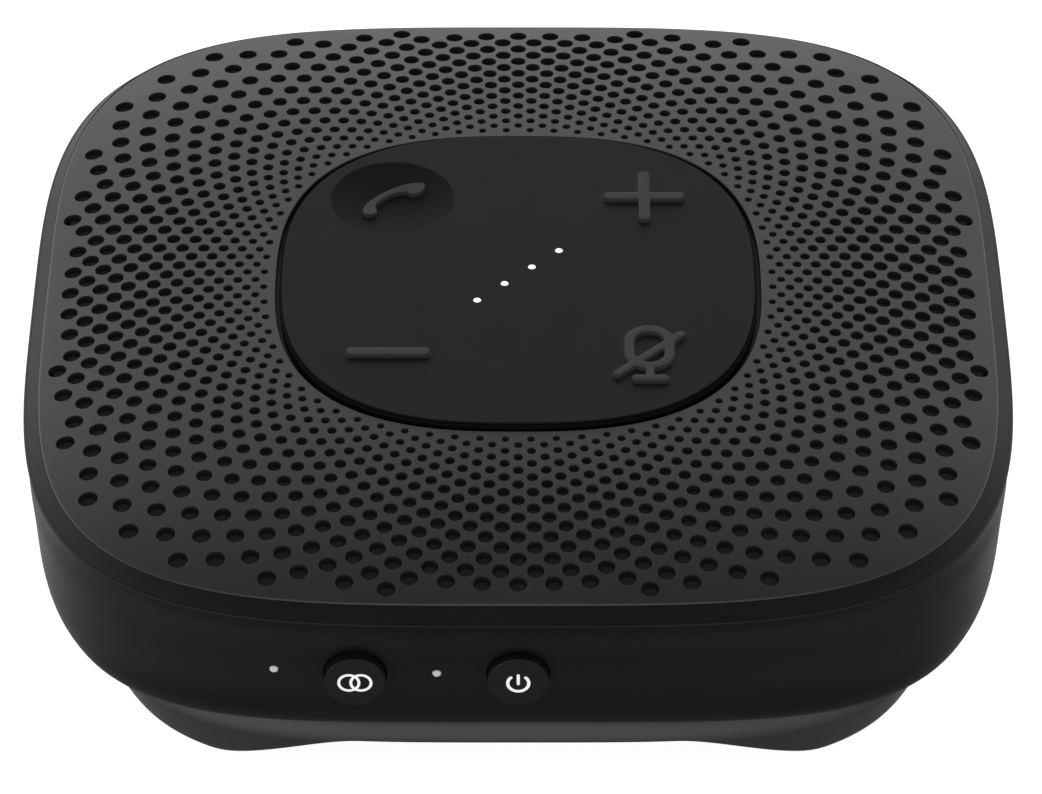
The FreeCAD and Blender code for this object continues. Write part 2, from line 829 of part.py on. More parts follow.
def mute_key():
    """Key with a microphone: capsule outline, stand, foot and a slash."""
    x, y = key_offset, -key_offset
    end_high, end_low = 2.0, -0.2  # centres of the capsule's round ends
    middle = (end_high + end_low) / 2.0

    def capsule(radius, z, height):
        return fuse(
            cylinder(radius, height, x, y + end_high, z),
            cylinder(radius, height, x, y + end_low, z),
            centred_box(x, y + middle, z, 2 * radius, end_high - end_low, height),
        )

    symbol = fuse(
        cut(capsule(3.15, symbol_under, symbol_height), capsule(1.75, pad_top - 1.0, 3.0)),
        centred_box(x, y - 4.0, symbol_under, 1.2, 2.4, symbol_height),
        bar(x, y - 5.0, 3.0),
        bar(x, y + middle, 9.6, 42.0),
    )
    return fuse(key_blank(1, -1), symbol)


def call_key():
    """Dished cap with a raised handset standing on the dish."""
    depth, cap = dims.dish_depth, dims.key_size
    x, y = -key_offset, key_offset
    ball_radius = (cap * cap + depth * depth) / (2.0 * depth)
    ball = doc.addObject("Part::Sphere", "dish")
    bind(ball, "Radius", ball_radius)
    place(ball, x, y, pad_top - depth + ball_radius)

    under = pad_top - depth - 0.2
    height = dims.icon_rise + 0.45
    arc_x, arc_y = x + 3.1, y - 4.4
    ring = cut(
        cylinder(6.6, height, arc_x, arc_y, under),
        cylinder(5.3, 3.0, arc_x, arc_y, under - 1.0),
    )
    sector = doc.addObject("Part::Cylinder", "sector")
    bind(sector, "Radius", 9.0)
    bind(sector, "Height", height)
    sector.Angle = 84.0
    turn_object(sector, Z_AXIS, 83.0)
    place(sector, arc_x, arc_y, under)
    arc = doc.addObject("Part::Common", "arc")
    arc.Base = ring
    arc.Tool = sector
    earpiece = cylinder(1.35, height, x + 3.5, y + 1.2, under)
    mouthpiece = cylinder(1.35, height, x - 2.9, y - 3.1, under)
    return fuse(cut(key_blank(-1, 1), ball), fuse(arc, earpiece, mouthpiece))


# Flat cable from the keypad board down to the main board, through slots in
# the tray and the baffle
CABLE_LEFT = 11.0
CABLE_WIDTH = 8.0
CABLE_THICK = 0.16


def cable_slot(gap, front, width, z, height):
    """Slot tool with the given gap at each side of the cable."""
    return box(CABLE_LEFT - gap, front, z, CABLE_WIDTH + 2 * gap, width, height)


def keypad_tray():
    """Tray above the speaker: flange under the cover's edge, posts to the baffle."""
    under, half_width, square = dims.tray_under, dims.tray_half_width, dims.pad_square
    post = dims.tray_post_offset
    post_height = under - chassis_top
    tray = fuse(
        prism(half_width, square, under, pad_under - 0.05),
        prism(dims.flange_half_width, dims.window_square,
              dims.flange_top - dims.flange_thick, dims.flange_top),
    )
    tray = cut(tray, prism(half_width - dims.tray_wall, square, keyboard_under, pad_under + 1.0))
    tray = fuse(tray, at_corners(post, dims.tray_post_size, post_height + 0.1, chassis_top))
    return cut(
        tray,
        at_corners(post, small_pilot, post_height + 0.7, chassis_top - 0.1),
        cable_slot(0.4, -27.0, 1.0, under - 1.0, 3.0),
    )


def keypad_dome_switches():
    radius, rise = dims.dome_switch_size, dims.dome_switch_rise
    profile = [(0, 0), (radius, 0), (radius - 0.5, 0.3), (1.2, rise), (0, rise)]
    return four(turned(profile, key_offset, key_offset, keyboard_top))


def keypad_light_pipes():
    """Pins with a wide foot above the diodes, reaching the pad's top face."""
    foot_radius, radius = 1.0, dims.dot_size
    foot_under, foot_top, tip = keyboard_top + 0.6, keyboard_top + 1.2, pad_top + 0.04
    profile = [
        (0, foot_under), (foot_radius, foot_under), (foot_radius, foot_top),
        (radius, foot_top), (radius, tip), (0, tip),
    ]
    return group(*[turned(profile, x, y) for x, y in DOTS])


def keypad_flex_cable():
    """Upright run from the keypad board and level run towards the front."""
    bend = board_top + 1.0
    return fuse(
        box(CABLE_LEFT, -26.6, bend, CABLE_WIDTH, CABLE_THICK, keyboard_under - bend),
        box(CABLE_LEFT, -34.6, bend, CABLE_WIDTH, 8.1, CABLE_THICK),
    )


node("keypad_membrane", keypad_membrane())
node("volume_up_key", fuse(
    key_blank(1, 1),
    bar(key_offset, key_offset, bar_span),
    bar(key_offset, key_offset, bar_span, 90.0),
))
node("volume_down_key", fuse(key_blank(-1, -1), bar(-key_offset, -key_offset, bar_span)))
node("mute_key", mute_key())
node("call_key", call_key())
node("keypad_tray", keypad_tray())
node("keypad_board",
     prism(dims.keyboard_half_width, dims.pad_square, keyboard_under, keyboard_top))
node("keypad_dome_switches", keypad_dome_switches())
node("keypad_leds",
     group(*[centred_box(x, y, keyboard_top, 1.0, 0.6, 0.5) for x, y in DOTS]))
node("keypad_light_pipes", keypad_light_pipes())
node("keypad_flex_cable", keypad_flex_cable())

# ======================================================= baffle and speaker
flange_top = dims.speaker_flange_top
BASKET_DEPTH = 9.8
EAR_RADIUS = 3.0
magnet_top = flange_top - BASKET_DEPTH  # top of the top plate


def chassis_plate():
    """Baffle with corner posts down to the floor and bosses for the speaker."""
    under = dims.chassis_under
    merge = under + 0.2  # posts run a little way into the plate
    post_under = floor_top + 0.05
    post = dims.corner_post_offset
    baffle = fuse(
        prism(dims.chassis_half_width, dims.chassis_square, under, chassis_top),
        at_corners(post, dims.corner_post_size, merge - post_under, post_under),
        *[cylinder(EAR_RADIUS, merge - flange_top, x, y, flange_top) for x, y in EARS]
    )
    return cut(
        baffle,
        cylinder(dims.speaker_opening, 6.0, 0, 0, under - 2.0),
        at_corners(post, large_pilot, 11.05, floor_top - 0.05),
        at_corners(dims.tray_post_offset, small_clear, 4.0, under - 1.0),
        at_corners(dims.trim_boss_offset, small_clear, 4.0, under - 1.0),
        cable_slot(0.5, -27.2, 1.4, under - 1.0, 4.0),
        *[cylinder(small_pilot, 1.85, x, y, flange_top - 0.05) for x, y in EARS]
    )


def turned_ring(inner, outer, bottom, top, z=0):
    return turned([(inner, bottom), (outer, bottom), (outer, top), (inner, top)], z=z)


def driver_basket():
    """Turned frame with fixing ears, a small tab and four side windows."""
    rim, seat = dims.speaker_flange_size, 23.6
    bore, floor = dims.gap_size + 0.6, -BASKET_DEPTH
    frame = turned(
        [
            (seat, 0), (rim, 0), (rim, -1.0), (25.2, -1.0), (20.2, -8.6), (20.2, floor),
            (bore, floor), (bore, -9.0), (19.4, -9.0), (19.4, -8.4), (seat, -1.2),
        ],
        z=flange_top,
    )
    basket = fuse(
        frame,
        box(-8.0, -21.1, magnet_top, 5.5, 1.6, 1.0),
        *[cylinder(EAR_RADIUS, 1.0, x, y, flange_top - 1.0) for x, y in EARS]
    )
    basket = cut_each(
        basket,
        centred_box(0, 0, flange_top - 8.0, 60.0, 14.0, 5.6),
        centred_box(0, 0, flange_top - 8.0, 14.0, 60.0, 5.6),
    )
    return cut(
        basket,
        cylinder(seat, 3.0, 0, 0, flange_top - 1.2),
        *[cylinder(dims.small_shank + 0.1, 4.0, x, y, flange_top - 2.0) for x, y in EARS]
    )


def driver_yoke():
    """Round plate under the magnet with the pole piece standing on it."""
    plate, pole, bottom, seat = dims.plate_size, dims.pole_size, -7.2, -5.8
    profile = [(0, bottom), (plate, bottom), (plate, seat), (pole, seat), (pole, 0), (0, 0)]
    return turned(profile, z=magnet_top)


# Thin turned parts: radius, height above magnet_top
SPIDER = [
    (9.1, 1.9), (11.0, 2.2), (13.0, 1.8), (15.0, 2.2), (17.0, 1.8), (19.2, 1.8),
    (19.2, 2.05), (17.0, 2.05), (15.0, 2.45), (13.0, 2.05), (11.0, 2.45), (9.1, 2.15),
]
CONE = [
    (9.0, 3.4), (9.5, 3.4), (14.5, 6.0), (20.5, 9.0), (20.5, 9.45), (14.2, 6.45), (9.0, 4.0),
]
DUST_CAP = [
    (0, 6.4), (4.0, 6.1), (7.4, 5.2), (8.9, 4.45), (9.55, 4.45), (9.55, 4.6),
    (7.7, 5.6), (4.1, 6.55), (0, 6.85),
]
# radius, height above the speaker flange
SURROUND = [
    (20.72, 0), (21.0, 0.75), (21.7, 1.25), (22.5, 1.1), (23.1, 0.5), (23.3, 0), (24.8, 0),
    (24.8, 0.4), (23.5, 0.4), (23.4, 0.75), (22.75, 1.45), (21.6, 1.6), (20.8, 1.05),
    (20.72, 0.4),
]

node("chassis_plate", chassis_plate())
node("driver_gasket",
     turned_ring(25.1, dims.speaker_flange_size - 0.6, flange_top, dims.chassis_under))
node("driver_basket", driver_basket())
node("driver_top_plate", turned_ring(dims.gap_size, dims.plate_size, -2.0, 0, magnet_top))
node("driver_magnet", turned_ring(dims.magnet_bore, dims.magnet_size, -5.8, -2.0, magnet_top))
node("driver_yoke", driver_yoke())
node("driver_voice_coil", turned_ring(dims.coil_bore, dims.coil_size, -4.6, 4.4, magnet_top))
node("driver_spider", turned(SPIDER, z=magnet_top))
node("driver_cone", turned(CONE, z=magnet_top))
node("driver_dust_cap", turned(DUST_CAP, z=magnet_top))
node("driver_surround", turned(SURROUND, z=flange_top))

# =========================================================== front controls
wall_front = -dims.front_wall
level = dims.button_level
SWITCH_SET_BACK = 5.45  # switch bodies behind the wall's front face
PLUNGER_SET_BACK = 4.45
LINK_LAMP_SET_BACK = 0.85
LEG_SET_BACK = 5.6  # light pipe's leg behind its front end
LEG_WIDTH = 1.1


def front_button(x):
    """Turned button along +Y: proud face, flange behind the wall, stem."""
    radius, proud = dims.button_size, dims.button_proud
    flange, stem, bevel = radius + 0.65, 1.6, 0.25
    flange_front, flange_back, stem_end = proud + 2.75, proud + 3.55, proud + 4.45
    return turned(
        [
            (0, 0), (radius - bevel, 0), (radius, bevel), (radius, flange_front),
            (flange, flange_front), (flange, flange_back), (stem, flange_back),
            (stem, stem_end), (0, stem_end),
        ],
        x, wall_front - proud, level, along_y=True,
    )


def switch_plunger(x):
    return cylinder(1.2, 2.3, x, wall_front + PLUNGER_SET_BACK, level, along_y=True)


def side_switch(x):
    """Switch body with a blind hole for its plunger."""
    front, width = wall_front + SWITCH_SET_BACK, 3.4
    return cut(
        centred_box(x, front + width / 2.0, board_top, 6.0, width, 6.0),
        cylinder(1.26, 1.8, x, front - 0.05, level, along_y=True),
    )


def light_pipe(x, front):
    """L-shaped light pipe: rod through the wall, leg down to its diode."""
    leg_under = board_top + 0.85
    return fuse(
        cylinder(dims.lamp_size, 6.6, x, front, level, along_y=True),
        cylinder(1.3, 0.8, x, front + 2.9, level, along_y=True),
        box(x - LEG_WIDTH / 2.0, front + LEG_SET_BACK, leg_under,
            LEG_WIDTH, LEG_WIDTH, level - leg_under + 0.4),
    )


def side_led(x, pipe_front):
    """Diode under the middle of a light pipe's leg."""
    y = pipe_front + LEG_SET_BACK + LEG_WIDTH / 2.0
    return centred_box(x, y, board_top, 1.6, 1.0, 0.8)


power_lamp = (dims.lamp_place_near, wall_front)
link_lamp = (dims.lamp_place_far, wall_front + LINK_LAMP_SET_BACK)
node("power_button", front_button(0))
node("link_button", front_button(dims.link_place))
node("power_switch_plunger", switch_plunger(0))
node("link_switch_plunger", switch_plunger(dims.link_place))
node("side_switches", group(side_switch(0), side_switch(dims.link_place)))
node("power_light_pipe", light_pipe(*power_lamp))
node("link_light_pipe", light_pipe(*link_lamp))
node("side_leds", group(side_led(*power_lamp), side_led(*link_lamp)))

# =================================================================== boards
# Components: centre x, centre y, length, width, height
MAIN_COMPONENTS = [
    (9.0, -43.0, 9.0, 8.0, 1.1), (-8.0, -42.0, 7.0, 7.0, 0.9), (-17.0, -40.0, 4.0, 4.0, 1.8),
    (-22.5, -44.5, 2.6, 2.6, 1.2), (15.0, -35.2, 10.0, 2.4, 0.95), (23.0, -41.0, 4.5, 7.5, 3.2),
    (30.3, -42.0, 4.0, 5.0, 3.0), (-30.3, -42.0, 4.0, 5.0, 3.0), (-5.25, -35.3, 6.0, 3.0, 2.0),
]
UNDERSIDE_COMPONENTS = [(-24.5, -36.0, 3.0, 3.0, 2.5), (-24.5, 41.5, 3.0, 3.0, 2.5)]
REAR_COMPONENTS = [(6.5, 46.0, 5.0, 5.0, 0.9), (-6.5, 46.5, 3.2, 2.6, 1.1)]
ROUND_COMPONENTS = [(-16.0, -47.5), (-11.0, -47.5)]  # centres


def board_components():
    parts = [centred_box(x, y, board_top, length, width, height)
             for x, y, length, width, height in MAIN_COMPONENTS]
    parts += [centred_box(x, y, dims.board_under - height, length, width, height)
              for x, y, length, width, height in UNDERSIDE_COMPONENTS]
    parts += [centred_box(x, y, rear_board_top, length, width, height)
              for x, y, length, width, height in REAR_COMPONENTS]
    parts += [cylinder(2.0, 5.4, x, y, board_top) for x, y in ROUND_COMPONENTS]
    return group(*parts)


def board_shield_can():
    """Thin box, open below."""
    x, y, wall = 9.0, -43.0, 0.3
    length, width = 17.0, 12.0
    return cut(
        centred_box(x, y, board_top, length, width, 2.2),
        centred_box(x, y, board_top - 0.5, length - 2 * wall, width - 2 * wall, 2.4),
    )


def usb_receptacle():
    """Flattened tube, open at the rear."""
    half, wall, depth = 2.89, 0.3, 7.3
    return cut(
        slot_bar(half, PORT_RADIUS, 54.0, depth, port_level),
        slot_bar(half, PORT_RADIUS - wall, 55.0, depth, port_level),
    )


node("main_board", circuit_board(
    -dims.board_half_length, dims.board_half_length, dims.board_front, dims.board_back,
    dims.board_under, dims.board_thick, MAIN_BOARD_POSTS,
))
node("board_shield_can", board_shield_can())
node("board_components", board_components())
node("board_antenna", fuse(
    centred_box(27.0, -54.5, board_top, 7.0, 2.0, 1.0),
    centred_box(22.6, -54.5, board_top, 2.0, 1.2, 0.5),
))
node("rear_board", circuit_board(
    -27, 27, 38.5, 57.0, dims.board_under, REAR_BOARD_THICK, REAR_BOARD_POSTS))
node("usb_receptacle", usb_receptacle())
node("usb_tongue", centred_box(0, 57.7, port_level - 0.35, 6.6, 5.4, 0.7))
# ribbon cable joining the two boards, along the left of the speaker
node("board_link_cable", box(-24.58, -34.5, dims.board_under - 6.2, CABLE_THICK, 74.5, 5.6))

# ==================================================================== power
PACK_X = 41.0
PACK_Y = 0.6
PAD_THICK = 0.8
pack_under = floor_top + PAD_THICK
LEAD_RISE = 4.4  # battery leads above the pack's underside


def battery_pack(x):
    """Flat lithium pouch with a folded seam at its front end."""
    return fuse(
        centred_box(x, PACK_Y, pack_under, 22.0, 56.0, 9.0),
        centred_box(x, -29.0, pack_under + 3.6, 18.0, 3.2, 1.6),
    )


def battery_pad(x):
    return centred_box(x, PACK_Y, floor_top, 14.0, 48.0, PAD_THICK)


def wire(points, radius):
    """Round wire in straight runs with ball joints at the bends."""
    parts = []
    for start, end in zip(points[:-1], points[1:]):
        run = Vector(*end) - Vector(*start)
        straight = doc.addObject("Part::Cylinder", "wire")
        straight.Radius = radius
        straight.Height = run.Length
        straight.Placement = FreeCAD.Placement(Vector(*start), FreeCAD.Rotation(Z_AXIS, run))
        parts.append(straight)
    for point in points[1:-1]:
        bend = doc.addObject("Part::Sphere", "bend")
        bend.Radius = radius
        parts.append(place(bend, *point))
    return fuse(*parts)


def battery_leads():
    """A pair of wires from the front of each pack to the main board."""
    pack_level = pack_under.value + LEAD_RISE
    front = -42.0
    leads = []
    for side in (-1, 1):
        for spread in (-0.8, 0.8):
            x = side * 34.9 + spread
            end_level = board_top.value + 1.5 + 0.63 * side * spread
            path = [
                (x, -30.7, pack_level), (x, front, pack_level),
                (x, front, end_level), (side * 32.4, front, end_level),
            ]
            leads.append(wire(path, 0.45))
    return group(*leads)


def driver_lead(x):
    """Wire from the basket's tab to the main board."""
    low, high, bend = 20.9, 22.6, -29.5
    return wire([(x, -21.2, low), (x, bend, low), (x, bend, high), (x, -33.6, high)], 0.4)


node("battery_pack_left", battery_pack(-PACK_X))
node("battery_pack_right", battery_pack(PACK_X))
node("battery_pads", group(battery_pad(-PACK_X), battery_pad(PACK_X)))
node("battery_leads", battery_leads())
node("driver_leads", group(driver_lead(-4.0), driver_lead(-6.5)))

# ============================================================== microphones
MIC_OFFSET = 41.0
MIC_BOARD_THICK = 0.8
CAPSULE_LENGTH, CAPSULE_WIDTH, CAPSULE_HEIGHT = 3.5, 2.65, 0.98
mic_board_top = chassis_top + MIC_BOARD_THICK


def mic_box(z, length, width, height):
    return centred_box(MIC_OFFSET, MIC_OFFSET, z, length, width, height)


def microphone_boot():
    """Round boot with a pocket for the capsule and a sound hole above it."""
    gap = 0.06  # pocket over capsule, both sides together
    return cut_each(
        cylinder(2.9, 2.6, MIC_OFFSET, MIC_OFFSET, mic_board_top),
        mic_box(chassis_top + 0.3, CAPSULE_LENGTH + gap, CAPSULE_WIDTH + gap, 1.55),
        cylinder(0.6, 5.0, MIC_OFFSET, MIC_OFFSET, chassis_top),
    )


node("microphone_boards", four(mic_box(chassis_top, 8.0, 6.0, MIC_BOARD_THICK)))
node("microphone_capsules",
     four(mic_box(mic_board_top, CAPSULE_LENGTH, CAPSULE_WIDTH, CAPSULE_HEIGHT)))
node("microphone_boots", four(microphone_boot()))


# =================================================================== screws
def screw(head, head_height, shank, length, x, y, z, up=True):
    """Pan-head screw with a cross recess, its shank pointing up or down.

    head and shank are radii; z is the head's bearing plane.
    """
    way = 1 if up else -1
    body = turned(
        [
            (0, -way * head_height), (head * 0.8, -way * head_height),
            (head, -way * head_height * 0.6), (head, 0), (shank, 0),
            (shank, way * (length - 0.4)), (shank * 0.4, way * length), (0, way * length),
        ],
        x, y, z,
    )
    recess_under = z - head_height - 0.05 if up else z + head_height - 0.6
    long, short = number(head) * 1.1, number(head) * 0.26
    return cut_each(
        body,
        centred_box(x, y, recess_under, long, short, 0.65),
        centred_box(x, y, recess_under, short, long, 0.65),
    )


def small_screw(length, x, y, z):
    return screw(dims.small_head, 1.2, dims.small_shank, length, x, y, z)


def board_screw(length, x, y, z):
    return screw(1.7, 1.2, BOARD_SHANK, length, x, y, z, up=False)


post, boss, tray_post = dims.corner_post_offset, dims.trim_boss_offset, dims.tray_post_offset
node("base_screws", four(screw(
    dims.large_head, 1.8, dims.large_shank, 13.6, post, post,
    dims.foot_thick + BASE_SCREW_INSET,
)))
node("chassis_screws", four(small_screw(2.6, boss, boss, dims.chassis_under)))
node("tray_screws", four(small_screw(3.7, tray_post, tray_post, dims.chassis_under)))
node("driver_screws", group(*[small_screw(2.7, x, y, flange_top - 1.0) for x, y in EARS]))
node("board_screws", group(
    *[board_screw(6.5, x, y, board_top) for x, y in MAIN_BOARD_POSTS],
    *[board_screw(6.0, x, y, rear_board_top) for x, y in REAR_BOARD_POSTS]
))


# ========================================================= check and export
def find_problems():
    """Objects that failed to recompute and pieces without sound solids."""
    problems = []
    for obj in doc.Objects:
        state = " ".join(obj.State)
        if "Invalid" in state or "Error" in state:
            problems.append("%s (%s): %s" % (obj.Name, obj.Label, state))
    for obj in pieces:
        shape = obj.Shape
        if shape.isNull():
            problems.append("%s: null shape" % obj.Label)
            continue
        if not shape.isValid():
            problems.append("%s: invalid shape" % obj.Label)
        if not shape.Solids:
            problems.append("%s: no solid" % obj.Label)
        for i, solid in enumerate(shape.Solids):
            if solid.Volume <= 0:
                problems.append("%s: solid %d has volume %.4f" % (obj.Label, i, solid.Volume))
    return problems


doc.recompute()
found = find_problems()
if found:
    raise RuntimeError("\n".join(found))

os.makedirs("parts", exist_ok=True)
for obj in pieces:
    obj.Shape.exportStep("parts/%s.step" % obj.Label)
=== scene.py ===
"""A desk conference speaker: a rounded square case with a domed, perforated top.

It stands on the ground at z = 0, centred on the Z axis. The front, with two round buttons and
two lamps, faces -Y; the slot in the wall faces +Y. Four keys sit in a window in the dome.
Shapes are worked out in millimetres and turned into metres when a mesh is built.
"""
import math
from collections import namedtuple

import bmesh
import bpy
import numpy as np
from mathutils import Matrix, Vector
from mathutils.geometry import delaunay_2d_cdt


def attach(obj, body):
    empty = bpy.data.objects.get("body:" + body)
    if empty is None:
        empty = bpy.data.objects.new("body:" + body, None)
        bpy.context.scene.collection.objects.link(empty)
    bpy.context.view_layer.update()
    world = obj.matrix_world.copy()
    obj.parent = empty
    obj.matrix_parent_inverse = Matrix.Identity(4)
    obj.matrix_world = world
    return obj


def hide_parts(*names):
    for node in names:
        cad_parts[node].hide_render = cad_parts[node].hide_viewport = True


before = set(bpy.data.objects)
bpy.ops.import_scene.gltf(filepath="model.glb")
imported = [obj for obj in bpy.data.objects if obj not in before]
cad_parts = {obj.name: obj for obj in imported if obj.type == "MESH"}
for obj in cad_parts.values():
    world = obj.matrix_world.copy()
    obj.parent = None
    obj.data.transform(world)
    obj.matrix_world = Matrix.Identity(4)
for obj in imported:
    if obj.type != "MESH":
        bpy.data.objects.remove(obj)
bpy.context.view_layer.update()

MM = 0.001
scene = bpy.context.scene

# ------------------------------------------------------------------ shader nodes
WHITE = (1, 1, 1, 1)
MAT = {}  # materials by name, without the "mat_" prefix


def set_inputs(tree, node, inputs):
    """Set values of a node's inputs, or link them where a socket is given."""
    for name, value in inputs.items():
        if isinstance(value, bpy.types.NodeSocket):
            tree.links.new(value, node.inputs[name])
        else:
            node.inputs[name].default_value = value


def add_node(tree, kind, inputs=None, **settings):
    node = tree.nodes.new("ShaderNode" + kind)
    for name, value in settings.items():
        setattr(node, name, value)
    set_inputs(tree, node, inputs or {})
    return node


def object_coords(tree):
    return add_node(tree, "TexCoord").outputs["Object"]


def noise(tree, coords, scale, detail=2.0, roughness=0.5):
    inputs = {"Scale": scale, "Detail": detail, "Roughness": roughness, "Vector": coords}
    return add_node(tree, "TexNoise", inputs).outputs["Fac"]


def bump(tree, height, strength, distance, over=None):
    """Bump from a height, laid over another normal if one is given."""
    inputs = {"Strength": strength, "Distance": distance, "Height": height}
    if over:
        inputs["Normal"] = over
    return add_node(tree, "Bump", inputs).outputs["Normal"]


def colour_ramp(tree, factor, stops):
    """Ramp through (position, rgb) stops."""
    node = add_node(tree, "ValToRGB", {"Fac": factor})
    elements = node.color_ramp.elements
    for element, (position, colour) in zip(elements, (stops[0], stops[-1])):
        element.position = position
        element.color = (*colour, 1)
    for position, colour in stops[1:-1]:
        elements.new(position).color = (*colour, 1)
    return node.outputs["Color"]


def new_material(name):
    material = bpy.data.materials.new("mat_" + name)
    material.use_nodes = True
    MAT[name] = material
    tree = material.node_tree
    return tree, tree.nodes["Principled BSDF"]


# ------------------------------------------------------------------ materials


def plastic(name, base, rough, spec=0.5, scale=9000.0, strength=0.12, vary=0.06,
            coarse_scale=None, coarse_strength=None, metallic=0.0, painted_glow=None):
    """Moulded surface: fine grain, slight wander in tone and roughness.

    A coarser grain can be added, and a faint even painted glow, which lights a part that is no lamp.
    """
    tree, shader = new_material(name)
    set_inputs(tree, shader, {
        "Base Color": (*base, 1),
        "Roughness": rough,
        "Specular IOR Level": spec,
        "Metallic": metallic,
    })
    # painted glow: the surface gives off light though it is no lamp
    if painted_glow:
        set_inputs(tree, shader, {"Emission Color": WHITE, "Emission Strength": painted_glow})
    coords = object_coords(tree)
    fine = noise(tree, coords, scale, detail=3.0, roughness=0.6)
    normal = bump(tree, fine, strength, distance=0.00002)
    if coarse_scale:
        coarse = noise(tree, coords, coarse_scale)
        normal = bump(tree, coarse, coarse_strength, distance=0.00004, over=normal)
    darker = [channel * (1 - vary) for channel in base]
    lighter = [channel * (1 + vary) for channel in base]
    tone = noise(tree, coords, scale=60.0, detail=4.0)
    wander = add_node(tree, "MapRange", {
        "To Min": max(0.02, rough - 0.04),
        "To Max": min(1.0, rough + 0.04),
        "Value": noise(tree, coords, scale=140.0, detail=5.0),
    })
    set_inputs(tree, shader, {
        "Normal": normal,
        "Base Color": colour_ramp(tree, tone, [(0.3, darker), (0.7, lighter)]),
        "Roughness": wander.outputs["Result"],
    })


def plain(name, base, rough, metallic=0.0, coat=0.0):
    """Material of a part that sits wholly inside the closed case."""
    tree, shader = new_material(name)
    inputs = {"Base Color": (*base, 1), "Roughness": rough, "Metallic": metallic}
    if coat:
        inputs.update({"Coat Weight": coat, "Coat Roughness": 0.3})
    set_inputs(tree, shader, inputs)


def weave(name):
    """Woven cloth: over-and-under threads from two crossed waves, with painted shade in the hollows
    and a faint painted glow.
    """
    tree, shader = new_material(name)
    # The emission is a painted glow: it brightens the cloth seen through the grille holes.
    set_inputs(tree, shader, {
        "Base Color": (0.010, 0.010, 0.0105, 1),
        "Roughness": 0.9,
        "Specular IOR Level": 0.2,
        "Sheen Weight": 0.05,
        "Sheen Roughness": 0.5,
        "Emission Color": WHITE,
        "Emission Strength": 0.0036,
    })
    thread = {"Scale": 520.0, "Distortion": 0.6, "Detail": 1.0, "Vector": object_coords(tree)}
    across, along = [
        add_node(tree, "TexWave", thread, wave_type="BANDS", bands_direction=axis).outputs["Fac"]
        for axis in "XY"
    ]
    crossing = add_node(tree, "Math", {0: across, 1: along}, operation="MULTIPLY").outputs[0]
    # Painted shade: the hollows of the weave are darker than the thread crowns.
    hollow, crown = (0.0060, 0.0060, 0.0062), (0.0105, 0.0105, 0.0108)
    set_inputs(tree, shader, {
        "Normal": bump(tree, crossing, strength=0.8, distance=0.0001),
        "Base Color": colour_ramp(tree, crossing, [(0.0, hollow), (1.0, crown)]),
    })


def frosted_glow(name, base, strength):
    """Frosted light pipe with a slightly uneven glow."""
    tree, shader = new_material(name)
    uneven = add_node(tree, "MapRange", {
        "To Min": strength * 0.94,
        "To Max": strength * 1.06,
        "Value": noise(tree, object_coords(tree), scale=3000.0),
    })
    set_inputs(tree, shader, {
        "Base Color": (*base, 1),
        "Roughness": 0.45,
        "Emission Color": WHITE,
        "Emission Strength": uneven.outputs["Result"],
    })


plastic("case_black", (0.0042, 0.0040, 0.0039), rough=0.36, spec=0.42, strength=0.10,
        coarse_scale=2600.0, coarse_strength=0.05)
plastic("trim_black", (0.0038, 0.0036, 0.0036), rough=0.32, spec=0.25, strength=0.10)
plastic("grille", (0.0095, 0.0096, 0.0100), rough=0.37, spec=0.60, strength=0.16,
        coarse_scale=3200.0, coarse_strength=0.06)
plastic("base_charcoal", (0.0195, 0.0195, 0.0205), rough=0.34, spec=1.0, strength=0.16)
plastic("inner_black", (0.016, 0.016, 0.017), rough=0.55, strength=0.2)
plastic("keypad_silicone", (0.0052, 0.0049, 0.0049), rough=0.48, spec=0.13, strength=0.10,
        scale=7000.0, vary=0.05)
plastic("foot_rubber", (0.012, 0.012, 0.012), rough=0.8, spec=0.3, strength=0.3, scale=4000.0)
plain("foam", (0.015, 0.015, 0.015), rough=0.95)
plain("board_green", (0.006, 0.07, 0.03), rough=0.35, coat=0.4)
plain("chip", (0.012, 0.012, 0.012), rough=0.5)
plain("switch_grey", (0.12, 0.12, 0.125), rough=0.5)
plain("polyimide", (0.35, 0.14, 0.02), rough=0.3, coat=0.3)
plain("wire_red", (0.35, 0.01, 0.01), rough=0.45)
plain("battery_foil", (0.55, 0.55, 0.57), rough=0.38, metallic=0.9)
plain("zinc_steel", (0.45, 0.45, 0.43), rough=0.32, metallic=1.0)
plastic("screw_steel", (0.22, 0.22, 0.22), rough=0.38, metallic=1.0, strength=0.15, scale=1500.0)
plastic("port_nickel", (0.50, 0.50, 0.51), rough=0.28, metallic=1.0, strength=0.08, scale=1500.0)
plain("basket_lacquer", (0.012, 0.012, 0.013), rough=0.4)
plain("ferrite", (0.03, 0.03, 0.033), rough=0.6, metallic=0.2)
plain("copper", (0.60, 0.22, 0.09), rough=0.3, metallic=1.0)
plain("spider_cloth", (0.36, 0.20, 0.05), rough=0.8)
plain("cone_fibre", (0.02, 0.02, 0.021), rough=0.8)
plain("led_body", (0.7, 0.7, 0.66), rough=0.4)
weave("acoustic_cloth")
frosted_glow("lamp_white", (0.42, 0.42, 0.43), strength=0.10)
frosted_glow("dot_white", (0.8, 0.81, 0.82), strength=0.40)
# White print on the front buttons, brightened by a painted glow.
plastic("print_white_painted_glow", (0.72, 0.72, 0.72), rough=0.55, spec=0.3, strength=0.05, vary=0.02,
        painted_glow=0.16)
plastic("icon_grey", (0.0345, 0.0345, 0.0345), rough=0.50, spec=0.14, strength=0.10,
        scale=7000.0, vary=0.04)
# Ledge round the keypad: a darker, almost unreflective copy of the silicone, with a faint painted
# glow.
plastic("pad_ledge_painted_glow", (0.0036, 0.0034, 0.0034), rough=0.6, spec=0.03, strength=0.10,
        scale=7000.0, painted_glow=0.0006)
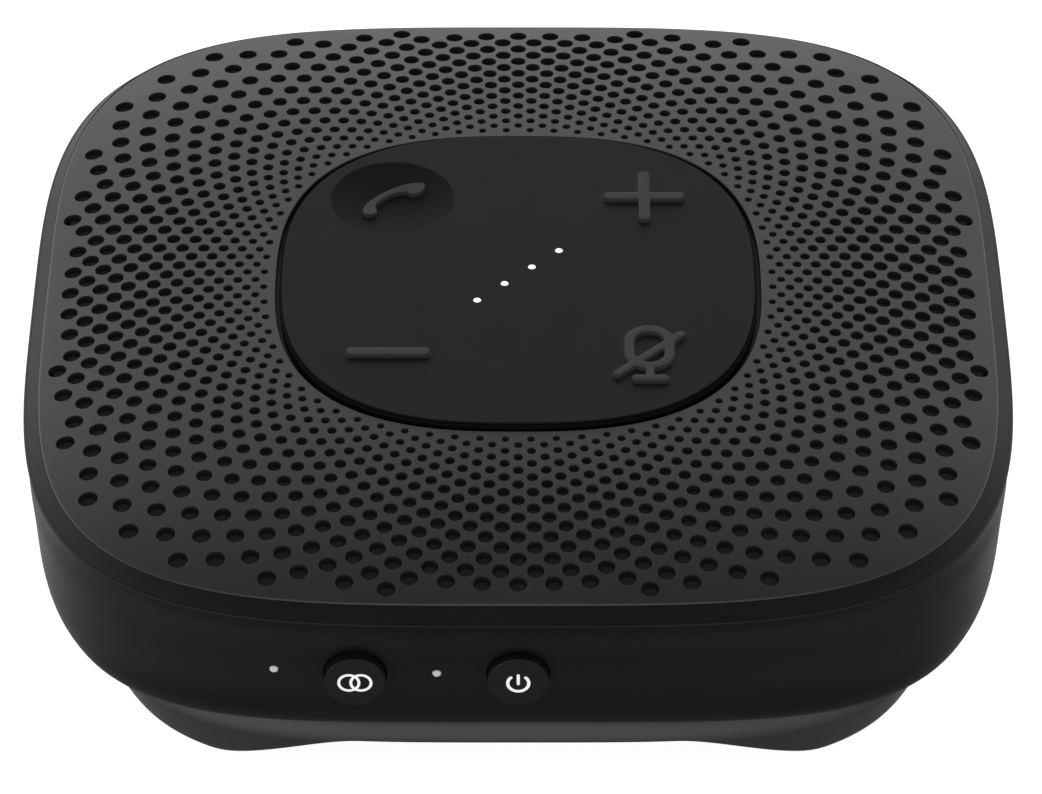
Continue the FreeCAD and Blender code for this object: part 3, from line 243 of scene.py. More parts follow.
# Painted highlight: a lighter copy of the grille paint for the rolled outer edge.
plastic("grille_edge_painted_highlight", (0.026, 0.026, 0.027), rough=0.36, spec=0.9, strength=0.10)
# Hole walls: the grille's colour with a faint painted glow that brightens the holes.
plastic("bore_painted_glow", (0.0095, 0.0095, 0.0100), rough=0.5, spec=0.3, strength=0.05, painted_glow=0.0034)
plastic("dish_silicone", (0.0055, 0.0051, 0.0049), rough=0.58, spec=0.07, strength=0.10,
        scale=7000.0, vary=0.05)

# ------------------------------------------------------------------ mesh tools


class Skin:
    """Collects points (mm), outward normals and faces of one closed piece."""

    def __init__(self):
        self.points, self.normals, self.faces, self.mats = [], [], [], []
        self.count = 0

    def add(self, points, normals=np.nan):
        """Add points; those without a normal get the mesh's own. Returns their indices."""
        points = np.asarray(points, float)
        self.points.append(points)
        self.normals.append(np.broadcast_to(np.asarray(normals, float), points.shape))
        self.count += len(points)
        return np.arange(self.count - len(points), self.count)

    def add_faces(self, faces, mat=0):
        """Add faces with one material index, or one for each face."""
        self.faces += np.asarray(faces).tolist()
        self.mats += np.broadcast_to(mat, len(faces)).tolist()

    def strip(self, ring, other, mat=0):
        """Band of quads between two closed rings."""
        self.add_faces(np.column_stack([ring, np.roll(ring, -1), np.roll(other, -1), other]), mat)

    def extend(self, ring, points, normals=np.nan, mat=0):
        """Add a new ring joined to the last one, and return it."""
        new = self.add(points, normals)
        self.strip(ring, new, mat)
        return new

    def loft(self, rings):
        for ring, other in zip(rings[:-1], rings[1:]):
            self.strip(ring, other)

    def cap(self, ring):
        self.add_faces([ring])

    def build(self, name, body, mats, slot, replaces=None, sharp=None):
        """Make the object. With a sharp angle (degrees), edges are split by angle instead."""
        mesh = bpy.data.meshes.new(name)
        mesh.from_pydata((np.vstack(self.points) * MM).tolist(), [], self.faces)
        mesh.polygons.foreach_set("material_index", self.mats)
        work = bmesh.new()
        work.from_mesh(mesh)
        bmesh.ops.recalc_face_normals(work, faces=work.faces)
        if work.calc_volume(signed=True) < 0:
            bmesh.ops.reverse_faces(work, faces=work.faces)
        work.to_mesh(mesh)
        work.free()
        mesh.polygons.foreach_set("use_smooth", [True] * len(mesh.polygons))
        mesh.update()
        if sharp is None:
            self.set_normals(mesh)
        else:
            mesh.set_sharp_from_angle(angle=math.radians(sharp))
        for mat in mats:
            mesh.materials.append(MAT[mat])
        piece = bpy.data.objects.new(name, mesh)
        scene.collection.objects.link(piece)
        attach(piece, body)
        if replaces:
            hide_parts(replaces)

    def set_normals(self, mesh):
        given = np.vstack(self.normals)
        own = np.array([vertex.normal for vertex in mesh.vertices], float)
        normals = np.where(np.isnan(given[:, :1]), own, given)
        length = np.linalg.norm(normals, axis=1, keepdims=True)
        normals = normals / np.where(length < 1e-9, 1, length)
        mesh.normals_split_custom_set_from_vertices(normals.tolist())


class Sheet:
    """Collects flat points and the loops that a triangulation of them must follow."""

    def __init__(self):
        self.points, self.tags, self.edges = [], [], []
        self.count = self.holes = 0

    def put(self, points, tag=0):
        self.points.append(points)
        self.tags.append(np.full(len(points), tag))
        self.count += len(points)
        return np.arange(self.count - len(points), self.count)

    def loop(self, points, tag=0):
        ids = self.put(points, tag)
        self.edges += list(zip(ids, np.roll(ids, -1)))
        return ids

    def hole(self, points):
        """Loop with a tag of its own, by which the triangles inside it are known."""
        self.holes += 1
        return self.loop(points, self.holes)

    def triangulate(self, open_holes=True):
        """Triangulate the first two columns; returns points, tags and triangles."""
        points, tags = np.vstack(self.points), np.concatenate(self.tags)
        corners = [Vector((float(x), float(y))) for x, y in points[:, :2]]
        edges = [tuple(map(int, edge)) for edge in self.edges]
        _, _, faces, origins, _, _ = delaunay_2d_cdt(corners, edges, [], 0, 1e-7)
        origins = np.array([origin[0] if len(origin) else -1 for origin in origins])
        triangles = origins[np.array([list(face) for face in faces], int)]
        triangles = triangles[(triangles >= 0).all(1)]
        if open_holes:
            marks = tags[triangles]
            filled = (marks[:, 0] > 0) & (marks == marks[:, :1]).all(1)
            triangles = triangles[~filled]
        return points, tags, triangles


def clear_of(points, holes, gap):
    """Points farther than the gap from every hole (x, y, radius)."""
    holes = np.array(holes)
    away = np.hypot(points[:, None, 0] - holes[None, :, 0], points[:, None, 1] - holes[None, :, 1])
    return points[(away - holes[None, :, 2]).min(1) > gap]


def circle(x, y, radius, count, phase=0.0):
    angle = phase + 2 * math.pi * np.arange(count) / count
    return np.stack([x + radius * np.cos(angle), y + radius * np.sin(angle)], 1)


def side_lengths(loop):
    return np.hypot(*(np.roll(loop, -1, 0) - loop).T)


def even_directions(count, half=60.0, power=3.8):
    """Directions evenly spaced in arc length round a squircle, symmetric in all eight sectors."""
    fine = np.linspace(0, math.pi / 4, 4000)
    radius = half / (np.cos(fine) ** power + np.sin(fine) ** power) ** (1 / power)
    x, y = radius * np.cos(fine), radius * np.sin(fine)
    length = np.concatenate([[0], np.cumsum(np.hypot(np.diff(x), np.diff(y)))])
    sector = np.interp(np.linspace(0, length[-1], count // 8 + 1), length, fine)
    quarter = np.concatenate([sector[:-1], (math.pi / 2 - sector[::-1])[:-1]])
    return np.concatenate([quarter + k * math.pi / 2 for k in range(4)])


COLS = 320  # points round a full ring
PHI = even_directions(COLS)
HALF_PHI = PHI[::2]
ROUNDING = [math.radians(degrees) for degrees in (30, 60, 90)]  # steps round a small edge


def squircle(half, power, phi=PHI):
    """Outline |x|^power + |y|^power = half^power, in the given directions."""
    cos, sin = np.cos(phi), np.sin(phi)
    radius = half / (np.abs(cos) ** power + np.abs(sin) ** power) ** (1.0 / power)
    return np.stack([radius * cos, radius * sin], 1)


def squircle_normal(xy, power):
    slope = np.sign(xy) * np.abs(xy) ** (power - 1)
    return slope / np.linalg.norm(slope, axis=1, keepdims=True)


def with_z(xy, z):
    return np.column_stack([xy, np.broadcast_to(np.asarray(z, float), (len(xy),))])


def tilt(level_normal, up):
    """Unit normals leaning from horizontal by the angle `up` (radians)."""
    up = np.broadcast_to(np.asarray(up, float), (len(level_normal),))
    return np.column_stack([level_normal * np.cos(up)[:, None], np.sin(up)])


def surface_normal(surface, phi, z, step):
    """Outward normals of a surface(phi, z), from its slopes both ways."""
    around = surface(phi + step, z) - surface(phi - step, z)
    upward = surface(phi, z + step) - surface(phi, z - step)
    normal = np.cross(around, upward)
    return normal / np.linalg.norm(normal, axis=1, keepdims=True)


def spline(xs, ys):
    """Natural cubic spline through (xs, ys) as a vectorised function."""
    xs, ys = np.asarray(xs, float), np.asarray(ys, float)
    count = len(xs)
    gap = np.diff(xs)
    matrix = np.eye(count)
    right = np.zeros(count)
    for i in range(1, count - 1):
        matrix[i, i - 1 : i + 2] = gap[i - 1], 2 * (gap[i - 1] + gap[i]), gap[i]
        right[i] = 6 * ((ys[i + 1] - ys[i]) / gap[i] - (ys[i] - ys[i - 1]) / gap[i - 1])
    bend = np.linalg.solve(matrix, right)

    def value(x):
        x = np.asarray(x, float)
        i = np.clip(np.searchsorted(xs, x) - 1, 0, count - 2)
        left, after = xs[i], xs[i + 1]
        width = after - left
        return (
            bend[i] * (after - x) ** 3 / (6 * width)
            + bend[i + 1] * (x - left) ** 3 / (6 * width)
            + (ys[i] / width - bend[i] * width / 6) * (after - x)
            + (ys[i + 1] / width - bend[i + 1] * width / 6) * (x - left)
        )

    return value


def station_splines(stations):
    """Half width and squareness as functions of height."""
    z, half, power = zip(*stations)
    return spline(z, half), spline(z, power)


# ------------------------------------------------------------------ dome surface
DOME_TOP = 39.1
DOME_DROP = 2.3126  # fall from the top at DOME_REACH
DOME_REACH = 56.84
DOME_FALL = 4.167  # power by which the dome falls away
DOME_POWER = 3.506  # squareness of its level lines


def dome_distance(xy):
    across, along = np.abs(xy[:, 0]), np.abs(xy[:, 1])
    return (across ** DOME_POWER + along ** DOME_POWER + 1e-12) ** (1 / DOME_POWER)


def dome_z(xy):
    return DOME_TOP - DOME_DROP * (dome_distance(xy) / DOME_REACH) ** DOME_FALL


def dome_normal(xy):
    distance = dome_distance(xy)
    steep = DOME_DROP * DOME_FALL / DOME_REACH * (distance / DOME_REACH) ** (DOME_FALL - 1)
    slope_x, slope_y = (
        steep * np.sign(v) * np.abs(v) ** (DOME_POWER - 1) * distance ** (1 - DOME_POWER)
        for v in xy.T
    )
    normal = np.column_stack([slope_x, slope_y, np.ones(len(xy))])
    return normal / np.linalg.norm(normal, axis=1, keepdims=True)


# ------------------------------------------------------------------ grille and cloth
GRILLE_HALF, GRILLE_POWER = 61.42, 3.75
WINDOW_HALF, WINDOW_POWER = 31.42, 2.70
GRILLE_THICK = 1.0
OUTER_ROLL, WINDOW_ROLL = 0.24, 0.16  # edge radii
HOLE_LIP = 0.08
HOLE_PHASE = 0.13

# Holes lie on 18 spokes in one eighth of the top, mirrored to all eight.
SPOKES = 18
LAST_RING = [17, 16, 17, 16, 17, 16, 17, 18, 17, 18, 17, 18, 19, 18, 19, 20, 19, 20]  # by spoke
# Log of the radius: a row for each cosine of the spoke angle, a column for each power of ring/20.
LN_RADIUS = [
    [3.53634, 0.62774, -0.01992, 0.04956],
    [-0.04173, 0.02525, -0.00249, -0.00367],
    [0.00153, 0.00452, -0.00712, 0.00423],
]
# Shift of the angle: a row for each sine of the spoke angle, columns as above.
ANGLE_SHIFT = [[0.01057, -0.10083, 0.02131], [0.00083, 0.00710, -0.00016]]

# Rings of mesh points in the bands without holes: (half width, squareness, directions)
SUPPORT_RINGS = [
    (60.3, 3.75, PHI), (59.4, 3.75, PHI), (58.2, 3.75, HALF_PHI), (56.9, 3.75, HALF_PHI),
    (32.1, 2.72, HALF_PHI), (32.9, 2.76, HALF_PHI),
]


def grille_holes():
    """All holes as (x, y, radius, ring)."""
    holes = []
    for spoke in range(SPOKES):
        nominal = math.pi / 4 * spoke / (SPOKES - 1)
        for ring in range(LAST_RING[spoke] + 1):
            if (ring + spoke) % 2 == 0:
                continue
            out = ring / 20.0
            log_radius = sum(
                math.cos(4 * m * nominal) * sum(LN_RADIUS[m][p] * out ** p for p in range(4))
                for m in range(3)
            )
            angle = nominal + sum(
                math.sin(4 * (m + 1) * nominal) * sum(ANGLE_SHIFT[m][p] * out ** p for p in range(3))
                for m in range(2)
            )
            reach = math.exp(log_radius)
            size = 0.480 + 0.0423 * ring - 0.0002 * ring * ring
            x, y = reach * math.sin(angle), reach * math.cos(angle)
            spots = {
                (round(sx * a, 5), round(sy * b, 5))
                for a, b in ((x, y), (y, x)) for sx in (1, -1) for sy in (1, -1)
            }
            if spoke == SPOKES - 1:  # on the diagonal, where mirrored holes coincide
                mid = round((x + y) / 2, 5)
                spots = {(math.copysign(mid, a), math.copysign(mid, b)) for a, b in spots}
            holes += [(a, b, size, ring) for a, b in sorted(spots)]
    return holes


def roll_edge(skin, ring, half, power, radius, phi, side, mat):
    """Round the grille's edge over and down; side is 1 for the outer edge, -1 for the window."""
    start_z = dome_z(squircle(half - side * radius, power, phi))
    for turn in map(math.radians, (18, 36, 54, 72, 90)):
        xy = squircle(half - side * radius * (1 - math.sin(turn)), power, phi)
        level = with_z(squircle_normal(xy, power) * side, 0.0)
        normals = level * math.sin(turn) + dome_normal(xy) * math.cos(turn)
        points = with_z(xy, start_z - radius * (1 - math.cos(turn)))
        ring = skin.extend(ring, points, normals, mat)
    return ring


def make_grille():
    """Perforated top shell with a window for the keypad."""
    skin, sheet = Skin(), Sheet()
    outer = sheet.loop(squircle(GRILLE_HALF - OUTER_ROLL, GRILLE_POWER))
    window = sheet.hole(squircle(WINDOW_HALF + WINDOW_ROLL, WINDOW_POWER, HALF_PHI))
    holes = grille_holes()
    rims = []
    for x, y, radius, ring in holes:
        count = 16 if ring < 9 else 20
        rims.append(sheet.hole(circle(x, y, radius + HOLE_LIP, count, HOLE_PHASE)))
    for half, power, phi in SUPPORT_RINGS:
        sheet.put(clear_of(squircle(half, power, phi), holes, gap=0.42))
    upper, _, triangles = sheet.triangulate()
    top = skin.add(with_z(upper, dome_z(upper)), dome_normal(upper))
    skin.add_faces(top[triangles])

    # underside: same triangles, with the edges at their full size
    lower = upper.copy()
    for rim, (x, y, radius, _) in zip(rims, holes):
        lower[rim] = circle(x, y, radius, len(rim), HOLE_PHASE)
    lower[outer] = squircle(GRILLE_HALF, GRILLE_POWER)
    lower[window] = squircle(WINDOW_HALF, WINDOW_POWER, HALF_PHI)
    under = skin.add(with_z(lower, dome_z(lower) - GRILLE_THICK), -dome_normal(lower))
    skin.add_faces(under[triangles][:, ::-1])

    for rim, (x, y, radius, _) in zip(rims, holes):
        centre = np.array([[x, y]])
        spread = circle(0, 0, 1.0, len(rim), HOLE_PHASE)
        up = dome_normal(centre)[0]
        ring = top[rim]
        for turn in ROUNDING:
            xy = centre + spread * (radius + HOLE_LIP * (1 - math.sin(turn)))
            normals = -with_z(spread, 0.0) * math.sin(turn) + up * math.cos(turn)
            points = with_z(xy, dome_z(xy) - HOLE_LIP * (1 - math.cos(turn)))
            ring = skin.extend(ring, points, normals)
        # The hole walls take material 1, which carries a painted glow.
        skin.strip(ring, under[rim], mat=1)

    # The outer rolled edge takes material 2, the lighter grille paint: a painted highlight.
    ring = roll_edge(skin, top[outer], GRILLE_HALF, GRILLE_POWER, OUTER_ROLL, PHI, side=1, mat=2)
    skin.strip(ring, under[outer])
    ring = roll_edge(skin, top[window], WINDOW_HALF, WINDOW_POWER, WINDOW_ROLL, HALF_PHI,
                     side=-1, mat=0)
    skin.strip(ring, under[window])
    mats = ["grille", "bore_painted_glow", "grille_edge_painted_highlight"]
    skin.build("grille_shell", "case", mats, "grille_charcoal", "grille_cover")


CLOTH_INNER, CLOTH_OUTER = 31.55, 59.6  # half widths
CLOTH_POWERS = (2.72, 3.75)  # squareness at the window, and from the eighth row out
CLOTH_TOP, CLOTH_UNDER = 1.04, 1.33  # depths below the dome


def make_cloth():
    """Thin cloth ring just under the grille."""
    skin = Skin()
    tops, unders = [], []
    near, far = CLOTH_POWERS
    for i in range(27):
        half = CLOTH_INNER + (CLOTH_OUTER - CLOTH_INNER) * i / 26.0
        xy = squircle(half, near + (far - near) * min(1.0, i / 8.0), HALF_PHI)
        tops.append(skin.add(with_z(xy, dome_z(xy) - CLOTH_TOP), dome_normal(xy)))
        unders.append(skin.add(with_z(xy, dome_z(xy) - CLOTH_UNDER), -dome_normal(xy)))
    skin.loft(tops)
    for ring, other in zip(unders[:-1], unders[1:]):
        skin.strip(other, ring)
    skin.strip(tops[0], unders[0])
    skin.strip(unders[-1], tops[-1])
    skin.build("acoustic_cloth", "case", ["acoustic_cloth"], "cloth_black", "acoustic_mesh")


# ------------------------------------------------------------------ trim ring
TRIM_TOP = float(dome_z(np.array([[61.2, 0.0]]))[0]) - 0.125
WALL_TOP = 34.2
TRIM_FOOT = 34.205
# Corners of the section: (half width, height, fillet radius)
TRIM_SECTION = [
    (63.06, TRIM_FOOT, 0.02), (61.40, TRIM_TOP, 0.02), (61.40, 34.62, 0.05), (59.95, 34.62, 0.08),
    (59.95, 32.48, 0.08), (60.88, 32.48, 0.08), (60.88, TRIM_FOOT, 0.03),
]


def fillet_points(before, corner, after, radius, steps):
    """Points of a fillet at a corner, in (half width, height)."""
    before, corner, after = (np.array(point, float) for point in (before, corner, after))
    back = (before - corner) / np.linalg.norm(before - corner)
    ahead = (after - corner) / np.linalg.norm(after - corner)
    half_angle = math.acos(float(np.clip(back @ ahead, -1, 1))) / 2
    reach = radius / math.tan(half_angle)
    middle = (back + ahead) / np.linalg.norm(back + ahead)
    centre = corner + middle * radius / math.sin(half_angle)
    start = math.atan2(*(corner + back * reach - centre)[::-1])
    end = math.atan2(*(corner + ahead * reach - centre)[::-1])
    sweep = (end - start + math.pi) % (2 * math.pi) - math.pi
    angles = [start + sweep * i / steps for i in range(steps + 1)]
    return [centre + radius * np.array([math.cos(a), math.sin(a)]) for a in angles]


def make_trim():
    """Ring between the grille and the side wall."""
    section = []
    count = len(TRIM_SECTION)
    for i, (*corner, radius) in enumerate(TRIM_SECTION):
        before, after = TRIM_SECTION[i - 1][:2], TRIM_SECTION[(i + 1) % count][:2]
        fillet = fillet_points(before, corner, after, radius, steps=3)
        if section:
            # long sides get a point close to each end, to keep the shading flat
            start, end = section[-1], fillet[0]
            length = np.linalg.norm(end - start)
            if length > 0.4:
                inset = (end - start) * 0.04 / length
                section += [start + inset, end - inset]
        section += fillet
    skin = Skin()
    rings = []
    for half, z in section:
        power = 3.75 if half < 61.8 else 3.75 - 0.10 * min(1.0, (half - 61.8) / 1.4)
        rings.append(skin.add(with_z(squircle(half, power), z)))
    skin.loft(rings + rings[:1])
    skin.build("trim_bezel", "case", ["trim_black"], "case_black", "trim_ring", sharp=50)


# ------------------------------------------------------------------ side wall
WALL_BOTTOM = 13.4
WALL_THICK = 2.0
TOP_ROUND, BOTTOM_ROUND = 0.24, 0.45
BORE_LIP = 0.12
# (height, half width, squareness)
wall_half, wall_power = station_splines([
    (13.4, 57.7, 4.62), (15.1, 59.2, 4.62), (17.0, 60.3, 4.56), (18.9, 61.2, 4.42),
    (21.4, 61.85, 4.26), (23.9, 62.15, 4.12), (27.1, 62.5, 3.97), (30.3, 62.87, 3.83),
    (32.8, 63.1, 3.70), (34.2, 63.4, 3.65),
])

ROW_Z = 25.55  # height of the front buttons and lamps
POWER_X, LINK_X = 0.0, -20.0
POWER_LAMP_X, LINK_LAMP_X = (x - 10.0 for x in (POWER_X, LINK_X))

# Openings in the wall: centre, half length of the straight part, end radius, points round it,
# and the side it is on (-1 front, 1 rear).
Opening = namedtuple("Opening", "x z straight radius count side")
OPENINGS = [
    Opening(POWER_X, ROW_Z, 0.0, 3.85, 72, -1),
    Opening(LINK_X, ROW_Z, 0.0, 3.85, 72, -1),
    Opening(POWER_LAMP_X, ROW_Z, 0.0, 0.62, 28, -1),
    Opening(LINK_LAMP_X, ROW_Z, 0.0, 0.62, 28, -1),
    Opening(0.0, 22.78, 2.85, 1.95, 56, 1),
]


def wall_point(phi, z, inset=0.0):
    return with_z(squircle(wall_half(z) - inset, wall_power(z), phi), z)


def wall_normal(phi, z):
    return surface_normal(wall_point, phi, z, step=1e-4)


def wall_xz(xz, side, inset=0.0):
    """Points of the front (side -1) or rear (1) wall at x, z, and their directions."""
    x, z = xz.T
    half, power = wall_half(z) - inset, wall_power(z)
    y = side * (half ** power - np.abs(x) ** power) ** (1.0 / power)
    return np.column_stack([x, y, z]), np.arctan2(y, x)


def opening_outline(opening, margin):
    """Outline of an opening in x, z, grown by a margin."""
    x, z, straight, radius, count, _ = opening
    if straight:
        quarter, half = math.pi / 2, count // 2
        angle = np.concatenate([
            np.linspace(-quarter, quarter, half),
            np.linspace(quarter, 3 * math.pi / 2, half),
        ])
        x = x + np.repeat([straight, -straight], half)
    else:
        angle = 2 * math.pi * np.arange(count) / count
    reach = radius + margin
    return np.column_stack([x + reach * np.cos(angle), z + reach * np.sin(angle)])


def wall_sheet(low, high):
    """Wall unrolled to columns (length, z, phi), opened at +X, with its rows and hole rims."""
    sheet = Sheet()
    lengths = np.concatenate([[0], np.cumsum(side_lengths(squircle(62.0, 4.0)))])
    phis = np.concatenate([PHI, [2 * math.pi + PHI[0]]])

    def unrolled(opening, margin):
        outline = opening_outline(opening, margin)
        phi = np.mod(wall_xz(outline, opening.side)[1], 2 * math.pi)
        return np.column_stack([np.interp(phi, phis, lengths), outline[:, 1], phi])

    levels = np.concatenate([np.linspace(low, 19.0, 12), np.linspace(19.0, high, 16)[1:]])
    clearance = (0.9, 0.45)  # along and up, round each opening
    boxes = []
    for opening in OPENINGS:
        outline = unrolled(opening, BORE_LIP)[:, :2]
        boxes.append((outline.min(0) - clearance, outline.max(0) + clearance))
    rows = []
    for i, z in enumerate(levels):
        row = np.column_stack([lengths, np.full(COLS + 1, z), phis])
        if 0 < i < len(levels) - 1:
            for box_low, box_high in boxes:
                inside = ((row[:, :2] > box_low) & (row[:, :2] < box_high)).all(1)
                row = row[~inside]
        rows.append(sheet.put(row))
    seams = [[row[end] for row in rows] for end in (0, -1)]
    for border in (rows[0], rows[-1], *seams):
        sheet.edges += list(zip(border[:-1], border[1:]))
    rims = []
    for opening in OPENINGS:
        rims.append(sheet.hole(unrolled(opening, BORE_LIP)))
        for extra in (0.5, 1.05) if opening.count >= 40 else (0.5,):
            sheet.put(unrolled(opening, BORE_LIP + extra))
    return sheet, rows, rims


def make_housing():
    """Side wall with round front openings and a slot at the rear."""
    skin = Skin()
    low, high = WALL_BOTTOM + BOTTOM_ROUND, WALL_TOP - TOP_ROUND
    sheet, rows, rims = wall_sheet(low, high)
    points, _, triangles = sheet.triangulate()

    # weld the seam, then number only the points in use
    weld = np.arange(len(points))
    for row in rows:
        weld[row[-1]] = row[0]
    triangles = weld[triangles]
    a, b, c = triangles.T
    triangles = triangles[(a != b) & (b != c) & (a != c)]
    used = np.unique(triangles)
    number = np.full(len(points), -1)
    number[used] = np.arange(len(used))
    triangles = number[triangles]
    rims = [number[rim] for rim in rims]
    bottom, top = (number[row[:-1]] for row in (rows[0], rows[-1]))

    _, z, phi = points[used].T
    normals = wall_normal(phi, z)
    outer = skin.add(wall_point(phi, z), normals)
    skin.add_faces(outer[triangles])
    inside = wall_point(phi, z, WALL_THICK)
    for opening, rim in zip(OPENINGS, rims):
        outline = opening_outline(opening, 0.0)
        inside[rim] = wall_xz(outline, opening.side, WALL_THICK)[0]
    inner = skin.add(inside, -normals)
    skin.add_faces(inner[triangles][:, ::-1])

    for opening, rim in zip(OPENINGS, rims):
        ring = outer[rim]
        for turn in ROUNDING:
            outline = opening_outline(opening, BORE_LIP * (1 - math.sin(turn)))
            spots, phi = wall_xz(outline, opening.side)
            spots[:, 1] -= opening.side * BORE_LIP * (1 - math.cos(turn))
            left, right = opening.x - opening.straight, opening.x + opening.straight
            away = outline - with_middle(np.clip(outline[:, 0], left, right), opening.z)
            away = away / np.linalg.norm(away, axis=1, keepdims=True)
            across = np.column_stack([away[:, 0], np.zeros(opening.count), away[:, 1]])
            facing = wall_normal(phi, outline[:, 1])
            ring = skin.extend(ring, spots, facing * math.cos(turn) - across * math.sin(turn))
        skin.strip(ring, inner[rim])

    # top edge
    half, power = float(wall_half(high)), float(wall_power(high))
    ring = outer[top]
    for turn in map(math.radians, (22.5, 45, 67.5, 90)):
        xy = squircle(half - TOP_ROUND * (1 - math.cos(turn)), power)
        points = with_z(xy, high + TOP_ROUND * math.sin(turn))
        ring = skin.extend(ring, points, tilt(squircle_normal(xy, 3.68), turn))
    ring = skin.extend(ring, with_z(squircle(half - 1.9, power), WALL_TOP), (0, 0, 1))
    skin.strip(ring, inner[top])

    # bottom edge: starts square to the leaning wall and turns to face down
    half, power = float(wall_half(low)), float(wall_power(low))
    start = -math.atan2(float(wall_half(low + 0.05) - wall_half(low - 0.05)), 0.1)
    radius = BOTTOM_ROUND / (1 + math.sin(start))
    centre, centre_z = half - radius * math.cos(start), low - radius * math.sin(start)
    ring = outer[bottom]
    for i in range(1, 6):
        turn = start + (-math.pi / 2 - start) * i / 5.0
        xy = squircle(centre + radius * math.cos(turn), power)
        points = with_z(xy, centre_z + radius * math.sin(turn))
        ring = skin.extend(ring, points, tilt(squircle_normal(xy, power), turn))
    ring = skin.extend(ring, with_z(squircle(55.7, power), WALL_BOTTOM), (0, 0, -1))
    skin.strip(ring, inner[bottom])
    skin.build("side_wall", "case", ["case_black"], "case_black", "side_housing")


def with_middle(x, z):
    """Points (x, z) on the centre line of an opening."""
    return np.column_stack([x, np.full(len(x), z)])


# ------------------------------------------------------------------ base skirt
SKIRT_TOP = 13.35
SKIRT_ROUND = 0.55  # radius of the lower edge
SKIRT_LOWEST = 0.02
# (height, half width, squareness)
skirt_half, skirt_power = station_splines([
    (0.0, 51.6, 4.00), (1.2, 53.0, 4.02), (3.0, 54.2, 3.97), (5.0, 55.2, 3.87),
    (7.0, 56.1, 3.80), (8.4, 56.6, 3.80), (9.3, 56.75, 3.80), (10.1, 56.5, 3.80),
    (11.2, 55.9, 3.83), (12.3, 55.7, 3.88), (13.35, 56.0, 3.90),
])
# The lower edge arches up between the four corners.
ARCH_HEIGHT = 8.95
ARCH_FLAT, ARCH_REACH = 20.0, 44.0  # where the arch starts to fall, and where it ends
BASE_WINDOW_HALF, BASE_WINDOW_POWER = 29.8, 3.6


def arch_z(x, y):
    t = (np.minimum(np.abs(x), np.abs(y)) - ARCH_FLAT) / (ARCH_REACH - ARCH_FLAT)
    t = np.clip(t, 0, 1)
    return ARCH_HEIGHT * (1 - t * t * (3 - 2 * t))


def skirt_point(phi, z):
    return with_z(squircle(skirt_half(z), skirt_power(z), phi), z)


def skirt_foot():
    """Height where the outer face meets the arch in each direction, by bisection."""
    low, high = np.zeros(COLS), np.full(COLS, 12.0)
    for _ in range(50):
        middle = (low + high) / 2
        x, y, _ = skirt_point(PHI, middle).T
        above = arch_z(x, y) > middle
        low, high = np.where(above, middle, low), np.where(above, high, middle)
    return np.maximum((low + high) / 2, 0.04)


def make_skirt():
    """Arched base skirt, open at the top, with a square window underneath."""
    skin = Skin()
    edge_z = skirt_foot() + SKIRT_ROUND
    start_z = SKIRT_TOP - 0.12
    rings = []
    steps = 34
    for i in range(steps + 1):
        z = start_z + (edge_z - start_z) * (i / steps)
        normals = surface_normal(skirt_point, PHI, z, step=1e-3)
        rings.append(skin.add(skirt_point(PHI, z), normals))
    skin.loft(rings)
    first, ring = rings[0], rings[-1]

    # rounded lower edge, from square to the leaning face to facing down
    edge_xy = skirt_point(PHI, edge_z)[:, :2]
    outward = squircle_normal(edge_xy, 3.9)
    start = -np.arctan2(skirt_half(edge_z + 0.1) - skirt_half(edge_z - 0.1), 0.2)
    radius = SKIRT_ROUND / (1 + np.sin(start))
    for i in range(1, 6):
        turn = start + (-math.pi / 2 - start) * i / 5.0
        xy = edge_xy + outward * (radius * (np.cos(turn) - np.cos(start)))[:, None]
        z = np.maximum(edge_z + radius * (np.sin(turn) - np.sin(start)), SKIRT_LOWEST)
        ring = skin.extend(ring, with_z(xy, z), tilt(outward, turn))
    foot_xy = xy

    # underside, in to the window
    window = squircle(BASE_WINDOW_HALF, BASE_WINDOW_POWER)
    for i in range(1, 29):
        t = i / 28.0
        xy = foot_xy * (1 - t) + window * t
        ring = skin.extend(ring, with_z(xy, np.maximum(arch_z(*xy.T), SKIRT_LOWEST)))

    # inside: up through the window, out over the floor and up to the rim
    floor_z = 11.0
    inside = [
        (BASE_WINDOW_HALF, BASE_WINDOW_POWER, floor_z), (54.85, 4.0, floor_z), (54.9, 4.0, 13.3),
    ]
    for half, power, z in inside:
        ring = skin.extend(ring, with_z(squircle(half, power), z))
    ring = skin.extend(ring, with_z(squircle(55.85, 4.0), SKIRT_TOP), (0, 0, 1))
    skin.strip(ring, first)
    skin.build("base_skirt_shell", "case", ["base_charcoal"], "base_charcoal", "base_skirt")


# ------------------------------------------------------------------ symbols
# Each symbol is a signed distance (mm, negative inside) from points around its centre.


def capsule(points, start, end, radius):
    start, end = np.array(start, float), np.array(end, float)
    line = end - start
    t = np.clip(((points - start) @ line) / max(line @ line, 1e-12), 0, 1)
    return np.linalg.norm(points - start - t[:, None] * line, axis=1) - radius


def rounded_bar(points, x, y, half_x, half_y, radius):
    beyond = np.abs(points - np.array([x, y])) - np.array([half_x - radius, half_y - radius])
    outside = np.linalg.norm(np.maximum(beyond, 0), axis=1)
    return outside + np.minimum(beyond.max(1), 0) - radius


def smooth_union(first, second, blend):
    share = np.clip(0.5 + 0.5 * (second - first) / blend, 0, 1)
    return second * (1 - share) + first * share - blend * share * (1 - share)


def catmull(points, steps):
    """Closed Catmull-Rom curve through points."""
    points = np.asarray(points, float)
    count = len(points)
    curve = []
    for i in range(count):
        p0, p1, p2, p3 = (points[(i + k) % count] for k in (-1, 0, 1, 2))
        for k in range(steps):
            t = k / steps
            curve.append(0.5 * (
                2 * p1 + (p2 - p0) * t + (2 * p0 - 5 * p1 + 4 * p2 - p3) * t * t
                + (3 * p1 - p0 - 3 * p2 + p3) * t ** 3
            ))
    return np.array(curve)


